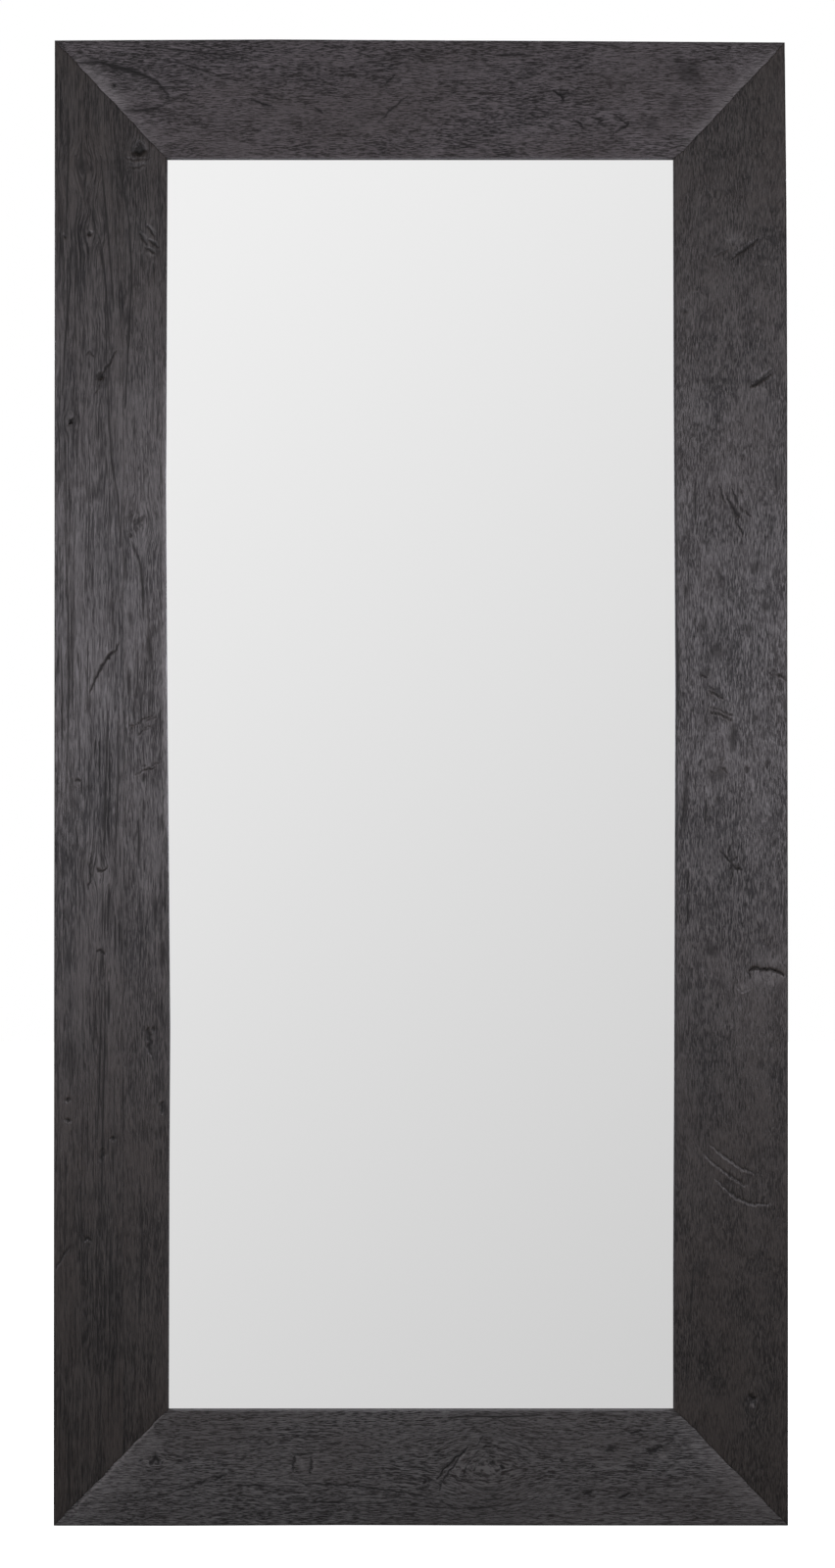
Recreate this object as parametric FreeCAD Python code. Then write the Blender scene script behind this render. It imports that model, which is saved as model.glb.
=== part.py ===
# Tall wall mirror: a silvered glass plate in a mitred frame of wide stained boards.
# Millimetres. X runs across the mirror, Y from its face towards the wall, Z up.
# The origin is the middle of the bottom edge, half way through the boards' thickness.

import FreeCAD, Part
import math
import os

Vector = FreeCAD.Vector

# Frame of four mitred boards
frame_width = 900.0
frame_height = 1824.0
frame_thickness = 40.0
top_rail_width = 146.0
bottom_rail_width = 143.0
left_stile_width = 138.5
right_stile_width = 137.5
left_outer_strip_width = 85.0
front_arris_radius = 2.5
back_arris_radius = 1.5

# Glass in its rebate, standing on two setting blocks
glass_thickness = 5.0
glass_cover = 10.0
glass_edge_gap = 2.0
glass_arris = 0.8
setting_block_length = 60.0
setting_block_place_shares = (0.25, 0.75)

# Backing panel, let into a wider rebate behind the glass and screwed to its ledge
panel_thickness = 6.0
panel_ledge = 14.0
panel_edge_gap = 1.0
panel_recess = 13.0
rail_panel_screws = 3
stile_panel_screws = 5

# Loose tongue across each mitre
tongue_thickness = 6.0
tongue_width = 90.0
tongue_depth = 30.0
tongue_edge_radius = 2.0
tongue_end_gap = 0.8
tongue_place_share = 0.5

# Flat steel plate over the back of each mitre
plate_thickness = 2.5
plate_arm_length = 110.0
plate_arm_width = 25.0
plate_inset = 40.0
plate_corner_radius = 8.0
plate_elbow_radius = 3.0
plate_first_hole = 52.0
plate_hole_spacing = 44.0
plate_arm_holes = 2

# Strap hanger: a steel strip folded double round the bar of a D-ring
hanger_drop = 372.0
strap_thickness = 1.5
strap_width = 14.0
strap_length = 66.0
strap_corner_radius = 5.0
strap_fold_gap = 0.2
strap_bend_radius = 3.0
strap_first_hole = 37.0
strap_hole_spacing = 18.0
strap_holes = 2
ring_wire_radius = 2.0
ring_inner_width = 20.0
ring_reach = 26.0
ring_corner_radius = 4.0
ring_running_gap = 0.3

# Rubber bumpers between the frame and the wall
bumper_height = 9.0
bumper_base_radius = 12.0
bumper_face_radius = 10.0
bumper_floor = 3.0
bumper_well_radius = 5.0
bumper_edge_distance = 190.0

# Screws: head radius, head height, shank radius, length under the face that the head is measured from
backing_screw_head_radius = 3.5
backing_screw_head_height = 2.2
backing_screw_shank_radius = 1.75
backing_screw_length = 20.0
plate_screw_head_radius = 3.9
plate_screw_head_height = 2.3
plate_screw_shank_radius = 2.0
plate_screw_length = 15.0
hanger_screw_head_radius = 4.0
hanger_screw_head_height = 2.4
hanger_screw_shank_radius = 2.0
hanger_screw_length = 28.0
bumper_screw_head_radius = 3.6
bumper_screw_head_height = 2.2
bumper_screw_shank_radius = 1.75
bumper_screw_length = 20.0
screw_sides = 8
screw_point_share = 0.15
screw_tip_share = 0.3
dome_shares = ((0.45, 1.0), (0.85, 0.6), (1.0, 0.0))

# Clearance of a screw or tongue in its hole, and how far a cutter runs past what it cuts
fit_gap = 0.1
overrun = 5.0

# Places that follow from the sizes
half_width = frame_width / 2
front = -frame_thickness / 2
back = frame_thickness / 2
panel_back = back - panel_recess
ledge = panel_back - panel_thickness
lip_back = ledge - glass_thickness
glass_rebate = glass_cover + glass_edge_gap
panel_rebate = glass_rebate + panel_ledge
inner_left = left_stile_width - half_width
inner_right = half_width - right_stile_width
inner_bottom = bottom_rail_width
inner_top = frame_height - top_rail_width

# Corners of the frame and of its opening, anticlockwise from the bottom left
corner_names = ("bottom_left", "bottom_right", "top_right", "top_left")
outer_corners = (
    Vector(-half_width, 0, 0),
    Vector(half_width, 0, 0),
    Vector(half_width, 0, frame_height),
    Vector(-half_width, 0, frame_height),
)
inner_corners = (
    Vector(inner_left, 0, inner_bottom),
    Vector(inner_right, 0, inner_bottom),
    Vector(inner_right, 0, inner_top),
    Vector(inner_left, 0, inner_top),
)
board_names = ("bottom_rail", "right_stile", "top_rail", "left_stile")
board_widths = (bottom_rail_width, right_stile_width, top_rail_width, left_stile_width)
to_wall = Vector(0, 1, 0)
across = Vector(1, 0, 0)


def save(node, shape):
    """Write one node as a STEP file."""
    shape.exportStep(os.path.join("parts", node + ".step"))


def rounded_wire(corners):
    """Closed wire through (point, radius) corners, with an arc at each corner that has a radius."""
    edges = []
    runs = []
    for i in range(len(corners)):
        point, radius = corners[i]
        if radius == 0:
            runs.append((point, point))
            continue
        before = (corners[i - 1][0] - point).normalize()
        after = (corners[(i + 1) % len(corners)][0] - point).normalize()
        half_angle = before.getAngle(after) / 2
        setback = radius / math.tan(half_angle)
        inwards = (before + after).normalize()
        nearest = point + inwards * (radius / math.sin(half_angle) - radius)
        start = point + before * setback
        end = point + after * setback
        edges.append(Part.Arc(start, nearest, end).toShape())
        runs.append((start, end))
    for i in range(len(runs)):
        edges.append(Part.makeLine(runs[i - 1][1], runs[i][0]))
    return Part.Wire(Part.__sortEdges__(edges))


def plate(corners, start_y, end_y):
    """Flat piece: an outline in the XZ plane, filled from one depth to another."""
    face = Part.Face(rounded_wire(corners))
    face.translate(to_wall * start_y)
    return face.extrude(to_wall * (end_y - start_y))


def block(low, high):
    """Box between two opposite corners."""
    size = high - low
    return Part.makeBox(size.x, size.y, size.z, low)


def along_board(i):
    """Direction of board i, from its first corner to its second."""
    return (outer_corners[(i + 1) % 4] - outer_corners[i]).normalize()


def inwards_from_board(i):
    """Direction from the outer edge of board i to the opening."""
    along = along_board(i)
    return Vector(-along.z, 0, along.x)


def turned(outline):
    """Solid made by turning a wire of (radius, depth) points round the Y axis."""
    return Part.Face(outline).revolve(Vector(0, 0, 0), to_wall, 360)


def flat_sided(stations):
    """Solid of flat sides through regular polygons, each given as (radius, depth), from the wall inwards.

    Screws and their holes repeat, so they are drawn with few sides.
    """
    rings = []
    for radius, depth in stations:
        ring = []
        for k in range(screw_sides):
            angle = 2 * math.pi * k / screw_sides
            ring.append(Vector(radius * math.cos(angle), depth, radius * math.sin(angle)))
        rings.append(ring + ring[:1])
    faces = [Part.Face(Part.makePolygon(rings[0])), Part.Face(Part.makePolygon(rings[-1]))]
    for upper, lower in zip(rings, rings[1:]):
        for k in range(screw_sides):
            corners = [upper[k], upper[k + 1], lower[k + 1], lower[k], upper[k]]
            faces.append(Part.Face(Part.makePolygon(corners)))
    solid = Part.Solid(Part.Shell(faces))
    if solid.Volume < 0:
        solid.reverse()
    return solid.removeSplitter()


def shank(radius, length):
    """Stations of a plain shank that tapers to a blunt point."""
    return [
        (radius, -length * (1 - screw_point_share)),
        (radius * screw_tip_share, -length),
    ]


def countersunk_screw(head_radius, head_height, shank_radius, length):
    """Screw with a flush conical head at depth zero, pointing away from the wall."""
    head = [(head_radius, 0), (shank_radius, -head_height)]
    return flat_sided(head + shank(shank_radius, length))


def countersunk_hole(head_radius, head_height, shank_radius, length):
    """Room for a countersunk screw, open towards the wall."""
    return flat_sided([
        (head_radius + fit_gap, overrun),
        (head_radius + fit_gap, 0),
        (shank_radius + fit_gap, -head_height),
        (shank_radius + fit_gap, -length - fit_gap),
    ])


def round_head_screw(head_radius, head_height, shank_radius, length):
    """Screw with a domed head that sits on the plane at depth zero, pointing away from the wall."""
    dome = []
    for reach_share, rise_share in dome_shares:
        dome.append((head_radius * reach_share, head_height * rise_share))
    return flat_sided(dome + [(shank_radius, 0)] + shank(shank_radius, length))


def straight_hole(shank_radius, length):
    """Pilot hole for a round-headed screw."""
    radius = shank_radius + fit_gap
    return flat_sided([(radius, overrun), (radius, -length - fit_gap)])


def copies(shape, places):
    """One copy of a shape at each place."""
    return [shape.translated(place) for place in places]


def panel_screw_places():
    """Heads of the backing screws: evenly spaced along the middle of the ledge on all four boards."""
    places = []
    for i in range(4):
        count = rail_panel_screws if i % 2 == 0 else stile_panel_screws
        start = inner_corners[i] - inwards_from_board(i) * (glass_rebate + panel_ledge / 2)
        run = inner_corners[(i + 1) % 4] - inner_corners[i]
        for k in range(count):
            places.append(start + run * ((k + 0.5) / count) + to_wall * panel_back)
    return places


def plate_arms(i):
    """Directions of the two boards that meet at corner i, and the elbow of its plate."""
    along = along_board(i)
    other = inwards_from_board(i)
    return along, other, outer_corners[i] + (along + other) * plate_inset


def plate_screw_places(i):
    """Heads of one corner plate's screws, along the middle of both arms."""
    along, other, elbow = plate_arms(i)
    places = []
    for k in range(plate_arm_holes):
        far = plate_first_hole + plate_hole_spacing * k
        side = plate_arm_width / 2
        depth = to_wall * (back + plate_thickness)
        places.append(elbow + along * far + other * side + depth)
        places.append(elbow + other * far + along * side + depth)
    return places


def stile_middles():
    """X of the middle of the left and the right stile."""
    return left_stile_width / 2 - half_width, half_width - right_stile_width / 2


# Strap hanger geometry, seen from the side: distance down the stile, and height off the wood
loop_radius = ring_wire_radius + ring_running_gap + strap_thickness / 2
pivot_height = strap_thickness / 2 + loop_radius
strap_top = 2 * strap_thickness + strap_fold_gap
bend_height = strap_top - strap_thickness / 2 + strap_bend_radius
bend_rise = bend_height - pivot_height
bend_drop = math.sqrt((loop_radius + strap_bend_radius)**2 - bend_rise**2)
pivot_z = frame_height - hanger_drop
ring_rest_angle = math.asin((strap_top + ring_wire_radius + ring_running_gap - pivot_height) / ring_reach)


def strap_point(down, height):
    """Point on the side view of a strap, with its loop's centre as the start of the distance down."""
    return Vector(0, back + height, pivot_z - down)


def strap_arc(centre, radius, start_angle, end_angle):
    """Arc on the side view of a strap, about a centre given as (down, height)."""
    points = []
    for angle in (start_angle, (start_angle + end_angle) / 2, end_angle):
        points.append(strap_point(centre[0] + radius * math.cos(angle), centre[1] + radius * math.sin(angle)))
    return Part.Arc(*points).toShape()


def hanger_strap(middle, screw_holes):
    """Strip folded double: flat on the wood, round the ring's bar, and back down on itself."""
    half = strap_thickness / 2
    loop = (0, pivot_height)
    bend = (bend_drop, bend_height)
    meeting = math.atan2(bend_rise, bend_drop)
    under = -math.pi / 2
    over = meeting - 2 * math.pi
    fold = strap_thickness + strap_fold_gap
    edges = [
        Part.makeLine(strap_point(strap_length, 0), strap_point(0, 0)),
        strap_arc(loop, loop_radius + half, under, over),
        strap_arc(bend, strap_bend_radius - half, math.pi + meeting, math.pi - under),
        Part.makeLine(strap_point(bend_drop, strap_top), strap_point(strap_length, strap_top)),
        Part.makeLine(strap_point(strap_length, strap_top), strap_point(strap_length, fold)),
        Part.makeLine(strap_point(strap_length, fold), strap_point(bend_drop, fold)),
        strap_arc(bend, strap_bend_radius + half, math.pi - under, math.pi + meeting),
        strap_arc(loop, loop_radius - half, over, under),
        Part.makeLine(strap_point(0, strap_thickness), strap_point(strap_length, strap_thickness)),
        Part.makeLine(strap_point(strap_length, strap_thickness), strap_point(strap_length, 0)),
    ]
    strip = Part.Face(Part.Wire(edges)).extrude(across * strap_width)
    strip.translate(across * (middle - strap_width / 2))
    side = strap_width / 2
    top = pivot_z + 2 * loop_radius
    end = pivot_z - strap_length
    outline = plate([
        (Vector(middle - side, 0, top), 0),
        (Vector(middle + side, 0, top), 0),
        (Vector(middle + side, 0, end), strap_corner_radius),
        (Vector(middle - side, 0, end), strap_corner_radius),
    ], back - overrun, back + pivot_height + 2 * loop_radius)
    return strip.common(outline).cut(screw_holes).Solids[0]


def hanger_ring(middle):
    """D-ring: a straight bar in the strap's loop, two legs and a round bow, lying on the strap."""
    half = ring_inner_width / 2 + ring_wire_radius
    corner = ring_corner_radius
    shoulder = half - corner
    leg = ring_reach - half
    slant = math.sqrt(0.5)
    path = [
        Part.makeLine(Vector(-shoulder, 0, 0), Vector(shoulder, 0, 0)),
        Part.Arc(
            Vector(shoulder, 0, 0),
            Vector(shoulder + corner * slant, 0, corner * slant - corner),
            Vector(half, 0, -corner),
        ).toShape(),
        Part.makeLine(Vector(half, 0, -corner), Vector(half, 0, -leg)),
        Part.Arc(Vector(half, 0, -leg), Vector(0, 0, -ring_reach), Vector(-half, 0, -leg)).toShape(),
        Part.makeLine(Vector(-half, 0, -leg), Vector(-half, 0, -corner)),
        Part.Arc(
            Vector(-half, 0, -corner),
            Vector(-shoulder - corner * slant, 0, corner * slant - corner),
            Vector(-shoulder, 0, 0),
        ).toShape(),
    ]
    section = Part.Wire(Part.makeCircle(ring_wire_radius, Vector(0, 0, 0), across))
    ring = Part.Wire(path).makePipeShell([section], True, False)
    ring.rotate(Vector(0, 0, 0), across, math.degrees(ring_rest_angle))
    ring.translate(Vector(middle, back + pivot_height, pivot_z))
    return ring.Solids[0]


def strap_screw_places(middle):
    """Seats of one strap's screws, on its upper layer below the ring."""
    places = []
    for k in range(strap_holes):
        down = strap_first_hole + strap_hole_spacing * k
        places.append(Vector(middle, back + strap_top, pivot_z - down))
    return places


def bumper_places():
    """Middles of the four bumpers on the backs of the stiles."""
    places = []
    for middle in stile_middles():
        for height in (bumper_edge_distance, frame_height - bumper_edge_distance):
            places.append(Vector(middle, back, height))
    return places


def wall_bumper():
    """Tapered rubber bumper with a well for its screw, standing on the plane at depth zero."""
    bore = bumper_screw_shank_radius + fit_gap
    return turned(Part.makePolygon([
        Vector(bore, 0, 0),
        Vector(bumper_base_radius, 0, 0),
        Vector(bumper_face_radius, bumper_height, 0),
        Vector(bumper_well_radius, bumper_height, 0),
        Vector(bumper_well_radius, bumper_floor, 0),
        Vector(bore, bumper_floor, 0),
        Vector(bore, 0, 0),
    ]))


def tongue(i, gap, end_gap):
    """Loose tongue across the mitre at corner i, or with gaps the mortise that it sits in."""
    mitre = inner_corners[i] - outer_corners[i]
    middle = outer_corners[i] + mitre * tongue_place_share
    mitre.normalize()
    square = Vector(-mitre.z, 0, mitre.x)
    depth = (front + lip_back) / 2
    half_width_there = tongue_width / 2 + gap
    half_thickness = tongue_thickness / 2 + gap
    reach = tongue_depth + end_gap
    corners = []
    for side, face in ((-1, -1), (1, -1), (1, 1), (-1, 1)):
        point = middle + mitre * (side * half_width_there) - square * reach
        corners.append((point + to_wall * (depth + face * half_thickness), tongue_edge_radius))
    return Part.Face(rounded_wire(corners)).extrude(square * (2 * reach))


def board(i, cutters):
    """Board i: its section drawn along its length, mitred at both ends, with its holes cut."""
    start = outer_corners[i]
    inwards = inwards_from_board(i)
    width = board_widths[i]
    section = [
        (0, front, front_arris_radius),
        (width, front, front_arris_radius),
        (width, lip_back, 0),
        (width - glass_rebate, lip_back, 0),
        (width - glass_rebate, ledge, 0),
        (width - panel_rebate, ledge, 0),
        (width - panel_rebate, back, 0),
        (0, back, back_arris_radius),
    ]
    corners = [(start + inwards * u + to_wall * y, radius) for u, y, radius in section]
    run = outer_corners[(i + 1) % 4] - start
    length = Part.Face(rounded_wire(corners)).extrude(run)
    mitres = plate([
        (outer_corners[i], 0),
        (outer_corners[(i + 1) % 4], 0),
        (inner_corners[(i + 1) % 4], 0),
        (inner_corners[i], 0),
    ], front - overrun, back + overrun)
    return length.common(mitres).cut(cutters).Solids[0]


def frame_boards(cutters):
    """The frame's boards by name, with the left stile in its two glued strips."""
    boards = {}
    for i in range(4):
        boards[board_names[i]] = board(i, cutters)
    left = boards.pop("left_stile")
    seam = left_outer_strip_width - half_width
    low = Vector(-half_width - overrun, front - overrun, -overrun)
    high = Vector(seam, back + overrun, frame_height + overrun)
    outer_side = block(low, high)
    boards["left_stile_outer_strip"] = left.common(outer_side).Solids[0]
    boards["left_stile_inner_strip"] = left.cut(outer_side).Solids[0]
    return boards


def corner_plate(i, holes):
    """L-shaped plate over the back of corner i."""
    along, other, elbow = plate_arms(i)
    arm = plate_arm_length
    width = plate_arm_width
    outline = [
        (elbow, plate_corner_radius),
        (elbow + along * arm, plate_corner_radius),
        (elbow + along * arm + other * width, plate_corner_radius),
        (elbow + along * width + other * width, plate_elbow_radius),
        (elbow + other * arm + along * width, plate_corner_radius),
        (elbow + other * arm, plate_corner_radius),
    ]
    return plate(outline, back, back + plate_thickness).cut(holes).Solids[0]


def mirror_glass():
    """Glass plate with seamed edges, lapped by the boards and held off the rebate by its edge gap."""
    low = Vector(inner_left - glass_cover, lip_back, inner_bottom - glass_cover)
    high = Vector(inner_right + glass_cover, ledge, inner_top + glass_cover)
    sheet = block(low, high)
    rims = []
    for face in sheet.Faces:
        if abs(face.normalAt(0, 0).dot(to_wall)) > 0.5:
            rims.extend(face.Edges)
    return sheet.makeChamfer(glass_arris, rims)


def setting_blocks():
    """Blocks that fill the gap under the glass."""
    glass_width = inner_right - inner_left + 2 * glass_cover
    pieces = []
    for share in setting_block_place_shares:
        middle = inner_left - glass_cover + glass_width * share
        start = middle - setting_block_length / 2
        low = Vector(start, lip_back, inner_bottom - glass_rebate)
        high = Vector(start + setting_block_length, ledge, inner_bottom - glass_cover)
        pieces.append(block(low, high))
    return pieces


def backing_panel(holes):
    """Panel on the ledge behind the glass."""
    reach = panel_rebate - panel_edge_gap
    low = Vector(inner_left - reach, ledge, inner_bottom - reach)
    high = Vector(inner_right + reach, panel_back, inner_top + reach)
    return block(low, high).cut(holes).Solids[0]


def main():
    """Build every piece and write it out."""
    os.makedirs("parts", exist_ok=True)
    backing_sizes = (
        backing_screw_head_radius,
        backing_screw_head_height,
        backing_screw_shank_radius,
        backing_screw_length,
    )
    plate_sizes = (
        plate_screw_head_radius,
        plate_screw_head_height,
        plate_screw_shank_radius,
        plate_screw_length,
    )
    hanger_sizes = (
        hanger_screw_head_radius,
        hanger_screw_head_height,
        hanger_screw_shank_radius,
        hanger_screw_length,
    )
    bumper_sizes = (
        bumper_screw_head_radius,
        bumper_screw_head_height,
        bumper_screw_shank_radius,
        bumper_screw_length,
    )

    backing_places = panel_screw_places()
    plate_places = [plate_screw_places(i) for i in range(4)]
    strap_places = [strap_screw_places(middle) for middle in stile_middles()]
    bumper_screw_places = [place + to_wall * bumper_floor for place in bumper_places()]

    backing_holes = copies(countersunk_hole(*backing_sizes), backing_places)
    plate_holes = [copies(countersunk_hole(*plate_sizes), places) for places in plate_places]
    strap_hole = straight_hole(hanger_screw_shank_radius, hanger_screw_length)
    strap_holes_cut = [copies(strap_hole, places) for places in strap_places]
    bumper_holes = copies(straight_hole(bumper_screw_shank_radius, bumper_screw_length), bumper_screw_places)
    mortises = [tongue(i, fit_gap, tongue_end_gap) for i in range(4)]
    cutters = backing_holes + sum(plate_holes, []) + sum(strap_holes_cut, []) + bumper_holes + mortises

    for name, solid in frame_boards(cutters).items():
        save(name, solid)
    for i in range(4):
        save(corner_names[i] + "_tongue", tongue(i, 0, 0))
        save(corner_names[i] + "_corner_plate", corner_plate(i, plate_holes[i]))
    save("mirror_glass", mirror_glass())
    save("setting_blocks", Part.makeCompound(setting_blocks()))
    save("backing_panel", backing_panel(backing_holes))
    for side, middle, holes in zip(("left", "right"), stile_middles(), strap_holes_cut):
        save(side + "_hanger_strap", hanger_strap(middle, holes))
        save(side + "_hanger_ring", hanger_ring(middle))
    save("wall_bumpers", Part.makeCompound(copies(wall_bumper(), bumper_places())))

    save("backing_screws", Part.makeCompound(copies(countersunk_screw(*backing_sizes), backing_places)))
    plate_screws = copies(countersunk_screw(*plate_sizes), sum(plate_places, []))
    save("corner_plate_screws", Part.makeCompound(plate_screws))
    save("hanger_screws", Part.makeCompound(copies(round_head_screw(*hanger_sizes), sum(strap_places, []))))
    save("bumper_screws", Part.makeCompound(copies(round_head_screw(*bumper_sizes), bumper_screw_places)))


main()
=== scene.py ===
"""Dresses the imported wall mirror: hand-worked stained boards, a silvered plate and the fittings behind."""

from __future__ import annotations

import logging
import math
from collections.abc import Callable
from dataclasses import dataclass, replace
from enum import Enum
from typing import Any

import bmesh
import bpy
import numpy as np
from mathutils import Matrix, Vector

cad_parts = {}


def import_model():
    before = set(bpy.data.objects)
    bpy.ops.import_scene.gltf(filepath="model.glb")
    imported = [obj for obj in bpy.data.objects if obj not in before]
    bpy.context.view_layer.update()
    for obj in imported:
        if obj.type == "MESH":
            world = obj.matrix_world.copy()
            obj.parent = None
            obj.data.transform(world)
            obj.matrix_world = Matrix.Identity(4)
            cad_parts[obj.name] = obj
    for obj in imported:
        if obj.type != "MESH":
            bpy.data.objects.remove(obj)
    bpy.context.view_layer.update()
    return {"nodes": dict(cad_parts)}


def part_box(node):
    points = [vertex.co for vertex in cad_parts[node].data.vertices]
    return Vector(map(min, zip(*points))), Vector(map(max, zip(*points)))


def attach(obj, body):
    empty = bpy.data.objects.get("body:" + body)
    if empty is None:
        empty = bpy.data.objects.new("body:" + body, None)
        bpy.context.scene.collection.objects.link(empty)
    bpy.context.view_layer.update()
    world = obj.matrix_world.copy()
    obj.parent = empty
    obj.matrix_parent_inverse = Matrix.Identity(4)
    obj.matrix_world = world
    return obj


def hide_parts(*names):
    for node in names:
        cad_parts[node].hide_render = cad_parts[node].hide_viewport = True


LOG = logging.getLogger("wall_mirror")
MM = 0.001
SAME_POINT = 1e-6
ON_CUT = 1e-7
WHITE = (1.0, 1.0, 1.0, 1.0)
DEPTH = Vector((0, 1, 0))
Path = tuple[tuple[float, float], ...]
Tree = bpy.types.NodeTree
Socket = bpy.types.NodeSocket
Piece = bpy.types.Object
PackedNodes = dict[str, bpy.types.Object]


def linear(colour: str) -> tuple[float, float, float, float]:
    """Turns an sRGB hex colour to linear red, green, blue and alpha.

    Args:
        colour: the colour as #rrggbb.

    Returns:
        The four linear values.
    """
    parts = [int(colour[k : k + 2], 16) / 255 for k in (1, 3, 5)]
    red, green, blue = (c / 12.92 if c <= 0.04045 else ((c + 0.055) / 1.055) ** 2.4 for c in parts)
    return red, green, blue, 1.0


def feed(tree: Tree, node: bpy.types.Node, inputs: dict[Any, Any]) -> None:
    """Gives a node's sockets what goes into them.

    Args:
        tree: the node tree.
        node: the node.
        inputs: a number, a hex colour or another node's output for each socket, by its name or index.
    """
    for key, source in inputs.items():
        if isinstance(source, Socket):
            tree.links.new(source, node.inputs[key])
        else:
            node.inputs[key].default_value = linear(source) if isinstance(source, str) else source


def add_node(tree: Tree, kind: str, inputs: dict[Any, Any] | None = None, **settings: Any) -> bpy.types.Node:
    """Adds one node with its settings and inputs.

    Args:
        tree: the node tree that gets the node.
        kind: the node's type name.
        inputs: what goes into its sockets, as for feed.
        settings: the node's own properties.

    Returns:
        The new node.
    """
    node = tree.nodes.new(kind)
    for name, setting in settings.items():
        setattr(node, name, setting)
    feed(tree, node, inputs or {})
    return node


def reckon(tree: Tree, operation: str, *terms: Socket | float) -> Socket:
    """Works one number out from others, which are numbers or outputs in the order of the operation."""
    return add_node(tree, "ShaderNodeMath", dict(enumerate(terms)), operation=operation).outputs[0]


def remap(
    tree: Tree,
    field: Socket,
    low: float,
    high: float,
    first: float = 0.0,
    last: float = 1.0,
    ease: bool = False,
) -> Socket:
    """Spreads part of a field's range over another range.

    Args:
        tree: the node tree.
        field: the field.
        low: where its range starts.
        high: where its range ends.
        first: the result at low.
        last: the result at high.
        ease: whether the result starts and ends gently.

    Returns:
        The result.
    """
    inputs = {0: field, 1: low, 2: high, 3: first, 4: last}
    form = "SMOOTHSTEP" if ease else "LINEAR"
    return add_node(tree, "ShaderNodeMapRange", inputs, interpolation_type=form).outputs[0]


def blend(tree: Tree, share: Socket, first: Socket | str, second: Socket | str) -> Socket:
    """Mixes two colours, by the share that the second one has."""
    return add_node(tree, "ShaderNodeMix", {0: share, 6: first, 7: second}, data_type="RGBA").outputs[2]


def noise(
    tree: Tree, place: Socket, sizes: tuple[float, float, float], detail: float, coarseness: float = 0.5
) -> bpy.types.Node:
    """Adds a cloudy pattern.

    Args:
        tree: the node tree.
        place: the place on the piece, in metres.
        sizes: the clouds' real size on the three axes, in millimetres.
        detail: how many finer patterns lie in them.
        coarseness: how strong the finer patterns are.

    Returns:
        The pattern's node.
    """
    scale = tuple(1 / (size * MM) for size in sizes)
    spread = add_node(tree, "ShaderNodeMapping", {"Scale": scale, "Vector": place}).outputs[0]
    inputs = {"Scale": 1.0, "Detail": detail, "Roughness": coarseness, "Vector": spread}
    return add_node(tree, "ShaderNodeTexNoise", inputs)


def object_place(tree: Tree) -> Socket:
    """Gives the place on the piece, in metres."""
    return add_node(tree, "ShaderNodeTexCoord").outputs["Object"]


def kept_value(tree: Tree, name: str) -> Socket:
    """Gives a number that is kept on each vertex, by its name."""
    return add_node(tree, "ShaderNodeAttribute", attribute_name=name).outputs["Fac"]


def new_material(name: str) -> tuple[bpy.types.Material, Tree, bpy.types.Node]:
    """Starts a material with one principled shader on its output.

    Args:
        name: the real material's name.

    Returns:
        The material, its node tree and the shader.
    """
    material = bpy.data.materials.new(name)
    material.use_nodes = True
    tree = material.node_tree
    tree.nodes.clear()
    shader = add_node(tree, "ShaderNodeBsdfPrincipled")
    add_node(tree, "ShaderNodeOutputMaterial", {"Surface": shader.outputs["BSDF"]})
    return material, tree, shader


class GrainRun(Enum):
    """Which way a board's grain runs."""

    UPRIGHT = "upright"
    LEVEL = "level"


@dataclass(frozen=True)
class GrainLayer:
    """One pattern in the grain: its size and relief in millimetres, and how far it lightens the tone."""

    across: float
    along: float
    gain: float
    middle: float = 0.5
    window: float = 0.14
    detail: float = 3.0
    relief: float = 0.0


Layers = tuple[GrainLayer, ...]


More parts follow.
